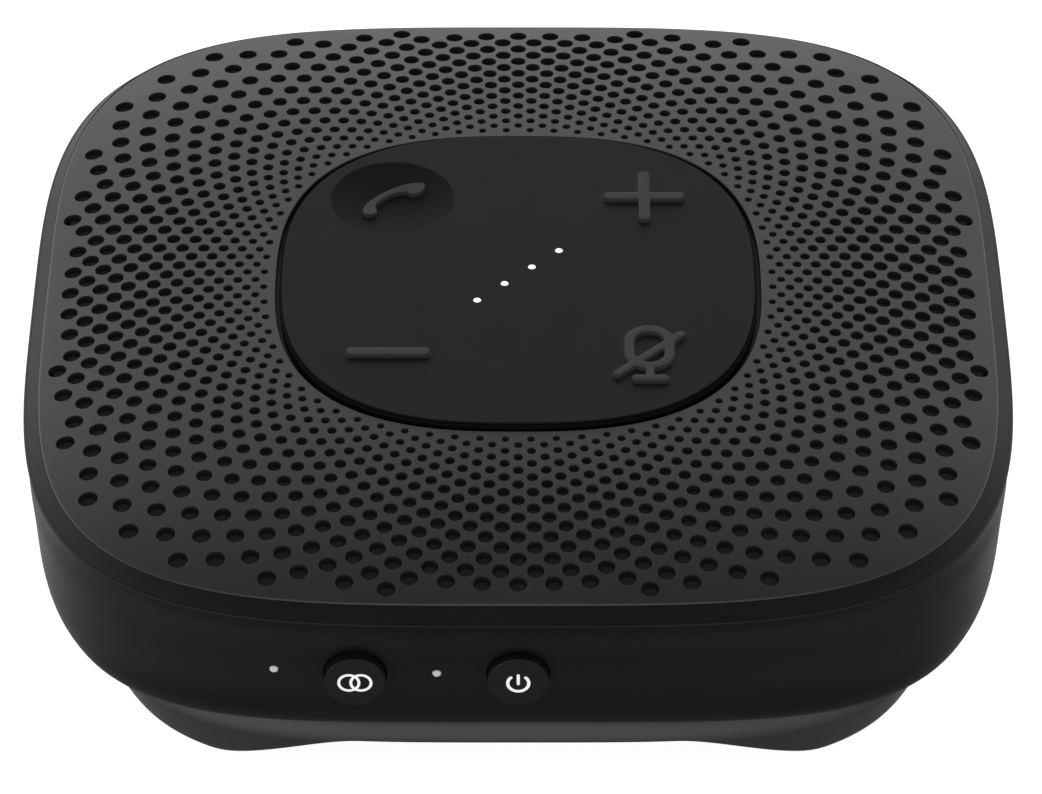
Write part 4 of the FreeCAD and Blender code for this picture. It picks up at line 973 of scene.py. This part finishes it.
ARM, ARM_HALF, ARM_ROUND = 5.3, 0.80, 0.62  # bars of the plus and minus


def minus_sdf(points):
    return rounded_bar(points, 0, 0, ARM, ARM_HALF, ARM_ROUND)


def plus_sdf(points):
    upright = rounded_bar(points, 0, 0, ARM_HALF, ARM, ARM_ROUND)
    return smooth_union(minus_sdf(points), upright, 0.25)


def mute_sdf(points):
    """Microphone outline on a stem and foot, with a slash across it."""
    shell = np.abs(capsule(points, (0.13, -0.35), (0.13, 2.1), 2.55)) - 0.68
    stem = rounded_bar(points, 0.12, -4.2, 0.58, 0.9, 0.1)
    foot = rounded_bar(points, 0.14, -5.42, 2.35, 0.62, 0.55)
    slash = capsule(points, (-3.95, -4.45), (4.15, 3.55), 0.60)
    symbol = smooth_union(shell, slash, 0.22)
    symbol = smooth_union(symbol, stem, 0.2)
    return smooth_union(symbol, foot, 0.2)


# Outline of the telephone handset (x, y), smoothed into a curve
HANDSET = catmull([
    (-3.92, -2.34), (-3.70, -1.23), (-3.22, -0.26), (-2.43, 0.84), (-1.45, 1.82),
    (-0.45, 2.58), (0.60, 3.16), (1.62, 3.57), (2.72, 3.76), (3.95, 3.66),
    (4.32, 2.98), (4.05, 2.10), (3.32, 1.56), (2.42, 1.50), (1.78, 1.97),
    (1.02, 1.98), (0.10, 1.62), (-0.84, 0.98), (-1.62, 0.12), (-2.10, -0.62),
    (-2.10, -1.50), (-1.93, -2.34), (-2.33, -3.06), (-3.15, -3.27), (-3.78, -3.02),
], steps=5)


def handset_sdf(points):
    """Handset outline, drawn in by 0.06."""
    nearest = np.full(len(points), 1e9)
    inside = np.zeros(len(points), bool)
    x, y = points[:, 0], points[:, 1]
    for start, end in zip(HANDSET, np.roll(HANDSET, -1, 0)):
        line = end - start
        t = np.clip(((points - start) @ line) / (line @ line), 0, 1)
        away = np.linalg.norm(points - start - t[:, None] * line, axis=1)
        nearest = np.minimum(nearest, away)
        spans = (start[1] > y) != (end[1] > y)
        with np.errstate(divide="ignore", invalid="ignore"):
            cross_x = line[0] * (y - start[1]) / (line[1] + 1e-15) + start[0]
        inside ^= spans & (x < cross_x)
    return np.where(inside, -nearest, nearest) + 0.06


def link_sdf(points):
    """Two overlapping rings side by side."""
    left, right = (
        np.abs(np.linalg.norm(points - np.array([x, 0.0]), axis=1) - 1.24) - 0.175
        for x in (-0.74, 0.74)
    )
    return np.minimum(left, right)


def power_sdf(points):
    """Ring open at the top with round ends, and an upright bar in the gap."""
    line_half, gap = 0.20, math.radians(45)
    from_centre = points - np.array([0.0, -0.02])
    angle = np.abs(np.arctan2(from_centre[:, 0], from_centre[:, 1]))
    ring = np.abs(np.linalg.norm(from_centre, axis=1) - 1.29) - line_half
    ends = [np.array([side * math.sin(gap) * 1.27, math.cos(gap) * 1.27]) for side in (1, -1)]
    to_ends = [np.linalg.norm(from_centre - end, axis=1) for end in ends]
    ring = np.where(angle < gap, np.minimum(*to_ends) - line_half, ring)
    return np.minimum(ring, capsule(points, (0, -0.12), (0, 1.24), 0.19))


# Marching squares. Sides of a cell: 0 bottom, 1 right, 2 top, 3 left, each as
# (1 if it runs along x, shift in i, shift in j).
CELL_SIDES = [(1, 0, 0), (0, 1, 0), (1, 0, 1), (0, 0, 0)]
# Sides joined by the line, for each pattern of corners below the level
CELL_LINES = {
    1: [(3, 0)], 2: [(0, 1)], 3: [(3, 1)], 4: [(1, 2)], 5: [(3, 2), (1, 0)],
    6: [(0, 2)], 7: [(3, 2)], 8: [(2, 3)], 9: [(2, 0)], 10: [(0, 3), (2, 1)],
    11: [(2, 1)], 12: [(1, 3)], 13: [(1, 0)], 14: [(0, 3)],
}


def raw_contours(sdf, level, half, step):
    """Closed loops where the sdf crosses a level, as they cut the grid lines."""
    count = int(round(2 * half / step)) + 1
    grid = np.linspace(-half, half, count) + 0.00137  # shifted off the symbols' own lines
    grid_x, grid_y = np.meshgrid(grid, grid, indexing="ij")
    value = sdf(np.column_stack([grid_x.ravel(), grid_y.ravel()])) - level
    value = value.reshape(count, count)
    below = (value < 0).astype(int)
    pattern = below[:-1, :-1] + below[1:, :-1] * 2 + below[1:, 1:] * 4 + below[:-1, 1:] * 8

    def side_key(i, j, side):
        along_x, shift_i, shift_j = CELL_SIDES[side]
        return along_x, int(i) + shift_i, int(j) + shift_j

    def crossing(key):
        along_x, i, j = key
        next_i, next_j = i + along_x, j + 1 - along_x
        here, there = value[i, j], value[next_i, next_j]
        t = here / (here - there)
        return grid[i] + t * (grid[next_i] - grid[i]), grid[j] + t * (grid[next_j] - grid[j])

    links = {}
    for i, j in np.argwhere((pattern > 0) & (pattern < 15)):
        for start, end in CELL_LINES[int(pattern[i, j])]:
            start, end = side_key(i, j, start), side_key(i, j, end)
            links.setdefault(start, []).append(end)
            links.setdefault(end, []).append(start)
    loops, seen = [], set()
    for current in links:
        path = []
        while current is not None and current not in seen:
            seen.add(current)
            path.append(crossing(current))
            current = next((key for key in links[current] if key not in seen), None)
        if len(path) > 8:
            loops.append(np.array(path))
    return loops


def contours(sdf, level, half=8.2, step=0.1, spacing=0.16):
    """Closed loops of the sdf's level line, as evenly spaced points."""
    evened = []
    for loop in raw_contours(sdf, level, half, step):
        for _ in range(3):  # settle on the exact level line
            d = 1e-4
            off = sdf(loop) - level
            slope = np.column_stack([
                (sdf(loop + (d, 0)) - sdf(loop - (d, 0))) / (2 * d),
                (sdf(loop + (0, d)) - sdf(loop - (0, d))) / (2 * d),
            ])
            loop = loop - (off / np.maximum((slope ** 2).sum(1), 0.2))[:, None] * slope
        loop = loop[side_lengths(loop) > 1e-5]
        lengths = side_lengths(loop)
        total = lengths.sum()
        reached = np.concatenate([[0], np.cumsum(lengths)])
        places = np.linspace(0, total, max(12, int(total / spacing)), endpoint=False)
        x, y = np.vstack([loop, loop[:1]]).T
        evened.append(np.column_stack([
            np.interp(places, reached, x), np.interp(places, reached, y),
        ]))
    return evened


# ------------------------------------------------------------------ keypad
PAD_TOP, PAD_UNDER = 39.54, 37.9
PAD_HALF, PAD_POWER = 30.6, 2.65
PAD_LIP, PAD_LEDGE = 0.14, 0.32
KEY_OFFSET = 16.6  # of each key's centre from the axes
KEY_RADIUS, KEY_COUNT = 8.25, 96
KEY_FLARE = 0.15  # narrowing of a key, and widening of its hole, towards the underside
DISH_RADIUS, DISH_DEPTH = 8.12, 1.05
DOT_PLACES = (-5.3, -1.77, 1.77, 5.3)  # x and y alike, along the diagonal
DOT_COUNT = 28

# Flank of a raised symbol: (distance from its outline, height above the face)
SOFT_FLANK = [
    (0.10, 0.0), (0.03, 0.05), (0.0, 0.14), (-0.025, 0.42), (-0.06, 0.52), (-0.12, 0.575),
    (-0.20, 0.60),
]
CRISP_FLANK = [
    (0.09, 0.0), (0.04, 0.04), (0.02, 0.12), (0.0, 0.50), (-0.025, 0.565), (-0.06, 0.59),
    (-0.12, 0.60),
]


def dish_z(points):
    """Height of a spherical hollow in the key face."""
    away = np.linalg.norm(points, axis=1)
    sphere = (DISH_RADIUS * DISH_RADIUS + DISH_DEPTH * DISH_DEPTH) / (2 * DISH_DEPTH)
    drop = np.sqrt(np.maximum(sphere * sphere - np.minimum(away, DISH_RADIUS) ** 2, 0))
    return np.where(away < DISH_RADIUS, PAD_TOP - DISH_DEPTH + sphere - drop, PAD_TOP)


def make_key(name, node, x, y, sdf, flank=SOFT_FLANK, scale=1.0, dished=False):
    """A key cap with its symbol raised from the face in one piece.

    Sheet tags are steps up the flank, 0 being the face.
    """
    skin, sheet = Skin(), Sheet()
    rim = sheet.loop(circle(0, 0, KEY_RADIUS, KEY_COUNT))
    for step, (distance, _) in enumerate(flank, 1):
        for outline in contours(sdf, distance):
            sheet.loop(outline, step)
    if dished:
        sheet.loop(circle(0, 0, DISH_RADIUS, KEY_COUNT))
        sheet.put(circle(0, 0, 7.9, KEY_COUNT))
    for radius in np.arange(0.0, 7.71, 0.55):
        count = max(1, int(2 * math.pi * radius / 0.6))
        ring = circle(0, 0, radius, count, 0.3 * radius)
        distance = sdf(ring)
        sheet.put(ring[distance > 0.25])
        sheet.put(ring[distance < -0.32], len(flank))
    points, steps, triangles = sheet.triangulate(open_holes=False)
    heights = np.array([0.0] + [height * scale for _, height in flank])[steps]
    face_z = dish_z(points) if dished else PAD_TOP
    top = skin.add(np.column_stack([points + (x, y), face_z + heights]))
    mats = np.where(heights[triangles].max(1) > 0.10 * scale, 1, 0)
    if dished:
        hollow = np.hypot(*points[triangles].mean(1).T) < 8.1
        mats = np.where((mats == 0) & hollow, 2, mats)
    skin.add_faces(top[triangles], mats)
    # side, underside and stem
    ring = top[rim]
    stem_radius, stem_end = 2.5, 37.0
    for radius, z in (
        (KEY_RADIUS - KEY_FLARE, PAD_UNDER), (stem_radius, PAD_UNDER), (stem_radius, stem_end),
    ):
        ring = skin.extend(ring, with_z(circle(x, y, radius, KEY_COUNT), z))
    skin.cap(ring)
    mats = ["keypad_silicone", "icon_grey", "dish_silicone"]
    skin.build(name, node, mats, "keypad_silicone", node, sharp=42)


def make_membrane():
    """Flat keypad skin with holes for keys and dots, and a low ledge round it."""
    skin, sheet = Skin(), Sheet()
    rim = sheet.loop(squircle(PAD_HALF - PAD_LIP, PAD_POWER))
    signs = (-KEY_OFFSET, KEY_OFFSET)
    key_holes = [(x, y, KEY_RADIUS) for x in signs for y in signs]
    dot_holes = [(d, d, 0.55) for d in DOT_PLACES]
    key_rims = [sheet.hole(circle(*hole, KEY_COUNT)) for hole in key_holes]
    dot_rims = [sheet.hole(circle(*hole, DOT_COUNT)) for hole in dot_holes]
    for half in np.arange(2.0, 30.0, 2.0):
        ring = squircle(half, 2.4, PHI[::8])
        sheet.put(clear_of(ring, key_holes + dot_holes, gap=0.6))
    upper, _, triangles = sheet.triangulate()
    top = skin.add(with_z(upper, PAD_TOP), (0, 0, 1))
    skin.add_faces(top[triangles])
    lower = upper.copy()
    lower[rim] = squircle(PAD_HALF + PAD_LEDGE, PAD_POWER)
    for key_rim, (x, y, radius) in zip(key_rims, key_holes):
        lower[key_rim] = circle(x, y, radius + KEY_FLARE, KEY_COUNT)
    under = skin.add(with_z(lower, PAD_UNDER), (0, 0, -1))
    skin.add_faces(under[triangles][:, ::-1])
    for hole_rim in key_rims + dot_rims:
        skin.strip(top[hole_rim], under[hole_rim])

    ring = top[rim]
    for turn in ROUNDING:
        xy = squircle(PAD_HALF - PAD_LIP * (1 - math.sin(turn)), PAD_POWER)
        points = with_z(xy, PAD_TOP - PAD_LIP * (1 - math.cos(turn)))
        normals = tilt(squircle_normal(xy, PAD_POWER), math.pi / 2 - turn)
        ring = skin.extend(ring, points, normals)
    # ledge: (distance out from the pad, height, upward lean of the normal in degrees)
    ledge = [
        (0.0, 39.19, 0.0), (0.02, 39.13, 45.0), (0.07, 39.11, 85.0),
        (PAD_LEDGE - 0.12, 39.09, 85.0), (PAD_LEDGE - 0.04, 39.05, 50.0), (PAD_LEDGE, 38.97, 0.0),
    ]
    # The ledge rings take material 1, the ledge silicone with its painted glow.
    for out, z, lean in ledge:
        xy = squircle(PAD_HALF + out, PAD_POWER)
        normals = tilt(squircle_normal(xy, PAD_POWER), math.radians(lean))
        ring = skin.extend(ring, with_z(xy, z), normals, mat=1)
    skin.strip(ring, under[rim])
    mats = ["keypad_silicone", "pad_ledge_painted_glow"]
    skin.build("keypad_skin", "case", mats, "keypad_silicone", "keypad_membrane")


# ------------------------------------------------------------------ turned pieces


def add_peg(skin, x, y, profile, count):
    """Upright turned peg from (radius, height) points, capped at both ends."""
    rings = [skin.add(with_z(circle(x, y, radius, count), z)) for radius, z in profile]
    skin.loft(rings)
    skin.cap(rings[-1])
    skin.cap(rings[0][::-1])


def lathe(name, profile, at, body, mat, slot, replaces, count, sharp):
    """Piece turned about the Y direction from (radius, depth) points, pointed at both ends."""
    skin = Skin()
    x, y, z = at
    rings = []
    for radius, depth in profile:
        ring_x, ring_z = circle(x, z, radius, count if radius > 0 else 1).T
        rings.append(skin.add(np.column_stack([ring_x, np.full(len(ring_x), depth + y), ring_z])))
    (front,), *middle, (back,) = rings
    ring = middle[0]
    skin.add_faces(np.column_stack([np.full(count, front), ring, np.roll(ring, -1)]))
    skin.loft(middle)
    ring = middle[-1]
    skin.add_faces(np.column_stack([np.full(count, back), np.roll(ring, -1), ring]))
    skin.build(name, body, [mat], slot, replaces, sharp=sharp)


# (radius, height)
DOT_PROFILE = [
    (0.95, 36.6), (1.0, 36.65), (1.0, 37.15), (0.95, 37.2), (0.52, 37.2), (0.52, 39.46),
    (0.47, 39.53), (0.34, 39.57), (0.16, 39.585),
]
FOOT_PROFILE = [
    (2.75, 0.0), (2.98, 0.03), (3.12, 0.12), (3.19, 0.28), (3.2, 0.5), (3.2, 2.15), (3.15, 2.2),
]
FOOT_OFFSET = 39.8  # of each foot's centre from the axes

BUTTON_Y = -63.93  # front face
BUTTON_RADIUS, BUTTON_ROUND = 3.75, 0.15
# (radius, depth behind the face): rounded face edge, flange and stem
BUTTON_PROFILE = [
    (0.0, 0.0), (2.0, 0.0), (3.3, 0.0), (3.56, 0.0), (BUTTON_RADIUS - BUTTON_ROUND, 0.0),
    *(
        (
            BUTTON_RADIUS - BUTTON_ROUND + BUTTON_ROUND * math.sin(turn),
            BUTTON_ROUND * (1 - math.cos(turn)),
        )
        for turn in map(math.radians, range(15, 91, 15))
    ),
    (BUTTON_RADIUS, 0.25), (BUTTON_RADIUS, 4.30), (3.80, 4.35), (4.35, 4.35), (4.40, 4.40),
    (4.40, 5.10), (4.35, 5.15), (1.60, 5.15), (1.60, 6.0), (1.55, 6.05), (0.0, 6.05),
]
# (radius, depth behind the wall's face): crowned tip, rod and flange
LAMP_PROFILE = [
    (0.0, -0.02), (0.2, -0.012), (0.38, 0.02), (0.50, 0.09), (0.55, 0.2), (0.55, 2.9),
    (0.6, 2.95), (1.25, 2.95), (1.3, 3.0), (1.3, 3.7), (1.25, 3.75), (0.6, 3.75),
    (0.55, 3.8), (0.55, 6.5), (0.5, 6.55), (0.0, 6.55),
]


def make_dots():
    """Frosted light dots between the keys."""
    skin = Skin()
    for place in DOT_PLACES:
        add_peg(skin, place, place, DOT_PROFILE, DOT_COUNT)
    skin.build("keypad_dots", "case", ["dot_white"], "light_pipe_white", "keypad_light_pipes",
               sharp=60)


def make_button(name, body, x):
    lathe(name, BUTTON_PROFILE, (x, BUTTON_Y, ROW_Z), body, "case_black", "case_black", body,
          count=96, sharp=40)


def make_print(name, sdf, x, z, body):
    """White symbol on a front button, as a thin raised film facing -Y."""
    skin, sheet = Skin(), Sheet()
    loops = [sheet.loop(outline) for outline in contours(sdf, 0.0, half=3.0, step=0.04, spacing=0.07)]
    points, _, triangles = sheet.triangulate()
    triangles = triangles[sdf(points[triangles].mean(1)) < 0]
    front, back = (
        skin.add(np.column_stack([points[:, 0] + x, np.full(len(points), y), points[:, 1] + z]))
        for y in (BUTTON_Y - 0.03, BUTTON_Y + 0.01)
    )
    skin.add_faces(front[triangles])
    skin.add_faces(back[triangles][:, ::-1])
    for ids in loops:
        skin.strip(front[ids], back[ids])
    # The print material carries a painted glow.
    skin.build(name, body, ["print_white_painted_glow"], "light_pipe_white", sharp=30)


def make_lamp(name, node, x):
    wall_y = float(wall_xz(np.array([[x, ROW_Z]]), -1)[0][0, 1])
    lathe(name, LAMP_PROFILE, (x, wall_y, ROW_Z), "case", "lamp_white", "light_pipe_white", node,
          count=40, sharp=50)


def make_feet():
    skin = Skin()
    for x in (-FOOT_OFFSET, FOOT_OFFSET):
        for y in (-FOOT_OFFSET, FOOT_OFFSET):
            add_peg(skin, x, y, FOOT_PROFILE, 48)
    skin.build("foot_pad_set", "case", ["foot_rubber"], "foot_rubber", "foot_pads", sharp=50)


# ------------------------------------------------------------------ build
make_grille()
make_cloth()
make_trim()
make_housing()
make_skirt()
make_membrane()
make_key("key_volume_up", "volume_up_key", KEY_OFFSET, KEY_OFFSET, plus_sdf)
make_key("key_volume_down", "volume_down_key", -KEY_OFFSET, -KEY_OFFSET, minus_sdf)
make_key("key_mute", "mute_key", KEY_OFFSET, -KEY_OFFSET, mute_sdf)
make_key("key_call", "call_key", -KEY_OFFSET, KEY_OFFSET, handset_sdf, flank=CRISP_FLANK,
         scale=0.95, dished=True)
make_dots()
make_button("button_power", "power_button", POWER_X)
make_button("button_link", "link_button", LINK_X)
make_print("print_power", power_sdf, POWER_X, ROW_Z - 0.05, "power_button")
make_print("print_link", link_sdf, LINK_X, ROW_Z, "link_button")
make_lamp("lamp_power", "power_light_pipe", POWER_LAMP_X)
make_lamp("lamp_link", "link_light_pipe", LINK_LAMP_X)
make_feet()

# ------------------------------------------------------------------ materials of the CAD pieces
# Pieces by material; any piece not named here is inner_black.
LOOKS = {
    "board_green": "keypad_board main_board rear_board microphone_boards",
    "zinc_steel": "keypad_dome_switches driver_top_plate driver_yoke board_shield_can",
    "led_body": "keypad_leds side_leds board_antenna",
    "polyimide": "keypad_flex_cable board_link_cable",
    "foam": "driver_gasket battery_pads",
    "basket_lacquer": "driver_basket",
    "ferrite": "driver_magnet",
    "copper": "driver_voice_coil",
    "spider_cloth": "driver_spider",
    "cone_fibre": "driver_cone driver_dust_cap",
    "foot_rubber": "driver_surround microphone_boots",
    "switch_grey": "power_switch_plunger link_switch_plunger side_switches",
    "chip": "board_components",
    "port_nickel": "usb_receptacle microphone_capsules",
    "battery_foil": "battery_pack_left battery_pack_right",
    "wire_red": "battery_leads driver_leads",
    "screw_steel": "base_screws chassis_screws tray_screws driver_screws board_screws",
}
look_of = {node: look for look, nodes in LOOKS.items() for node in nodes.split()}
for node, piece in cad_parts.items():
    look = MAT[look_of.get(node, "inner_black")]
    slots = piece.data.materials
    if not slots:
        slots.append(look)
    for i in range(len(slots)):
        slots[i] = look

# ------------------------------------------------------------------ floor (metres)
FLOOR_HALF, FLOOR_Z = 6, -0.0002


def make_floor():
    """Bright floor, clear when seen from below so that the underside can be looked at."""
    mesh = bpy.data.meshes.new("floor")
    corners = [(-1, -1), (1, -1), (1, 1), (-1, 1)]
    points = [(x * FLOOR_HALF, y * FLOOR_HALF, FLOOR_Z) for x, y in corners]
    mesh.from_pydata(points, [], [(0, 1, 2, 3)])
    floor = bpy.data.objects.new("floor", mesh)
    scene.collection.objects.link(floor)
    tree, shader = new_material("floor")
    mottle = noise(tree, object_coords(tree), scale=1.5)
    set_inputs(tree, shader, {
        "Roughness": 0.9,
        "Specular IOR Level": 0.1,
        "Emission Color": WHITE,
        "Emission Strength": 0.92,
        "Base Color": colour_ramp(tree, mottle, [(0.0, (0.40,) * 3), (1.0, (0.43,) * 3)]),
    })
    mesh.materials.append(MAT["floor"])
    floor.visible_glossy = False
    one_sided = add_node(tree, "MixShader", {
        "Fac": add_node(tree, "NewGeometry").outputs["Backfacing"],
        1: shader.outputs["BSDF"],
        2: add_node(tree, "BsdfTransparent").outputs["BSDF"],
    })
    set_inputs(tree, tree.nodes["Material Output"], {"Surface": one_sided.outputs["Shader"]})


# ------------------------------------------------------------------ world, light, camera
# Brightness of the room, from straight down (0) to straight up (1)
SKY = [
    (0.0, 0.05), (0.10, 0.14), (0.19, 0.46), (0.30, 0.47), (0.42, 0.56), (0.48, 0.80), (0.53, 0.9),
    (0.60, 0.95), (0.67, 1.25), (0.74, 1.25), (0.80, 0.86), (0.85, 0.36), (0.91, 0.14), (1.0, 0.10),
]
# Factor on it, from -X (0) to +X (1)
SIDES = [(0.0, 0.95), (0.32, 1.24), (0.5, 1.12), (0.7, 0.99), (1.0, 0.58)]
FRONT_FACTOR, REAR_FACTOR = 0.55, 1.05  # the same from -Y to +Y


def make_world():
    """Soft room, brightest behind and above the horizon and dim overhead."""
    world = bpy.data.worlds.new("studio")
    scene.world = world
    world.use_nodes = True
    tree = world.node_tree
    tree.nodes.clear()
    output = add_node(tree, "OutputWorld")
    background = add_node(tree, "Background", {"Strength": 1.0})
    direction = add_node(tree, "TexCoord").outputs["Generated"]
    parts = add_node(tree, "SeparateXYZ", {0: direction}).outputs

    def axis_range(axis, low=0.0, high=1.0):
        inputs = {"Value": parts[axis], "From Min": -1.0, "From Max": 1.0}
        inputs.update({"To Min": low, "To Max": high})
        return add_node(tree, "MapRange", inputs).outputs["Result"]

    def grey_ramp(axis, stops):
        return colour_ramp(tree, axis_range(axis), [(place, (grey,) * 3) for place, grey in stops])

    sky = grey_ramp("Z", SKY)
    depth = axis_range("Y", FRONT_FACTOR, REAR_FACTOR)
    level = add_node(tree, "Math", {0: depth, 1: grey_ramp("X", SIDES)}, operation="MULTIPLY")
    room = add_node(tree, "Mix", {"Factor": 1.0, "A": sky, "B": level.outputs[0]},
                    data_type="RGBA", blend_type="MULTIPLY")
    set_inputs(tree, background, {"Color": room.outputs["Result"]})
    set_inputs(tree, output, {"Surface": background.outputs["Background"]})


def place(thing, location, target):
    """Put a light or camera in the scene, aimed at a target."""
    thing.location = location
    thing.rotation_mode = "QUATERNION"
    thing.rotation_quaternion = (Vector(target) - Vector(location)).to_track_quat("-Z", "Y")
    scene.collection.objects.link(thing)


def make_top_light():
    data = bpy.data.lights.new("light_top", "AREA")
    data.shape = "RECTANGLE"
    data.size = data.size_y = 2.4
    data.energy = 24.0
    light = bpy.data.objects.new("light_top", data)
    place(light, location=(0.0, -0.2, 1.6), target=(0, 0, 0))
    light.visible_glossy = False
    light.visible_camera = False


CAMERA_TARGET = (0.0, -24.825, DOME_TOP)
CAMERA_DISTANCE = 714.724122
CAMERA_RISE = math.radians(38.582)  # above level, from the front


def make_camera():
    data = bpy.data.cameras.new("camera")
    data.sensor_width = 36.0
    data.lens = 195.510403
    data.shift_x = 0.00261996
    data.clip_start, data.clip_end = 0.01, 50.0
    camera = bpy.data.objects.new("camera", data)
    target = Vector(CAMERA_TARGET) * MM
    toward = Vector((0, -math.cos(CAMERA_RISE), math.sin(CAMERA_RISE)))
    place(camera, target + toward * (CAMERA_DISTANCE * MM), target)
    scene.camera = camera


make_floor()
make_world()
make_top_light()
make_camera()
scene.view_settings.view_transform = "Standard"
scene.view_settings.look = "None"
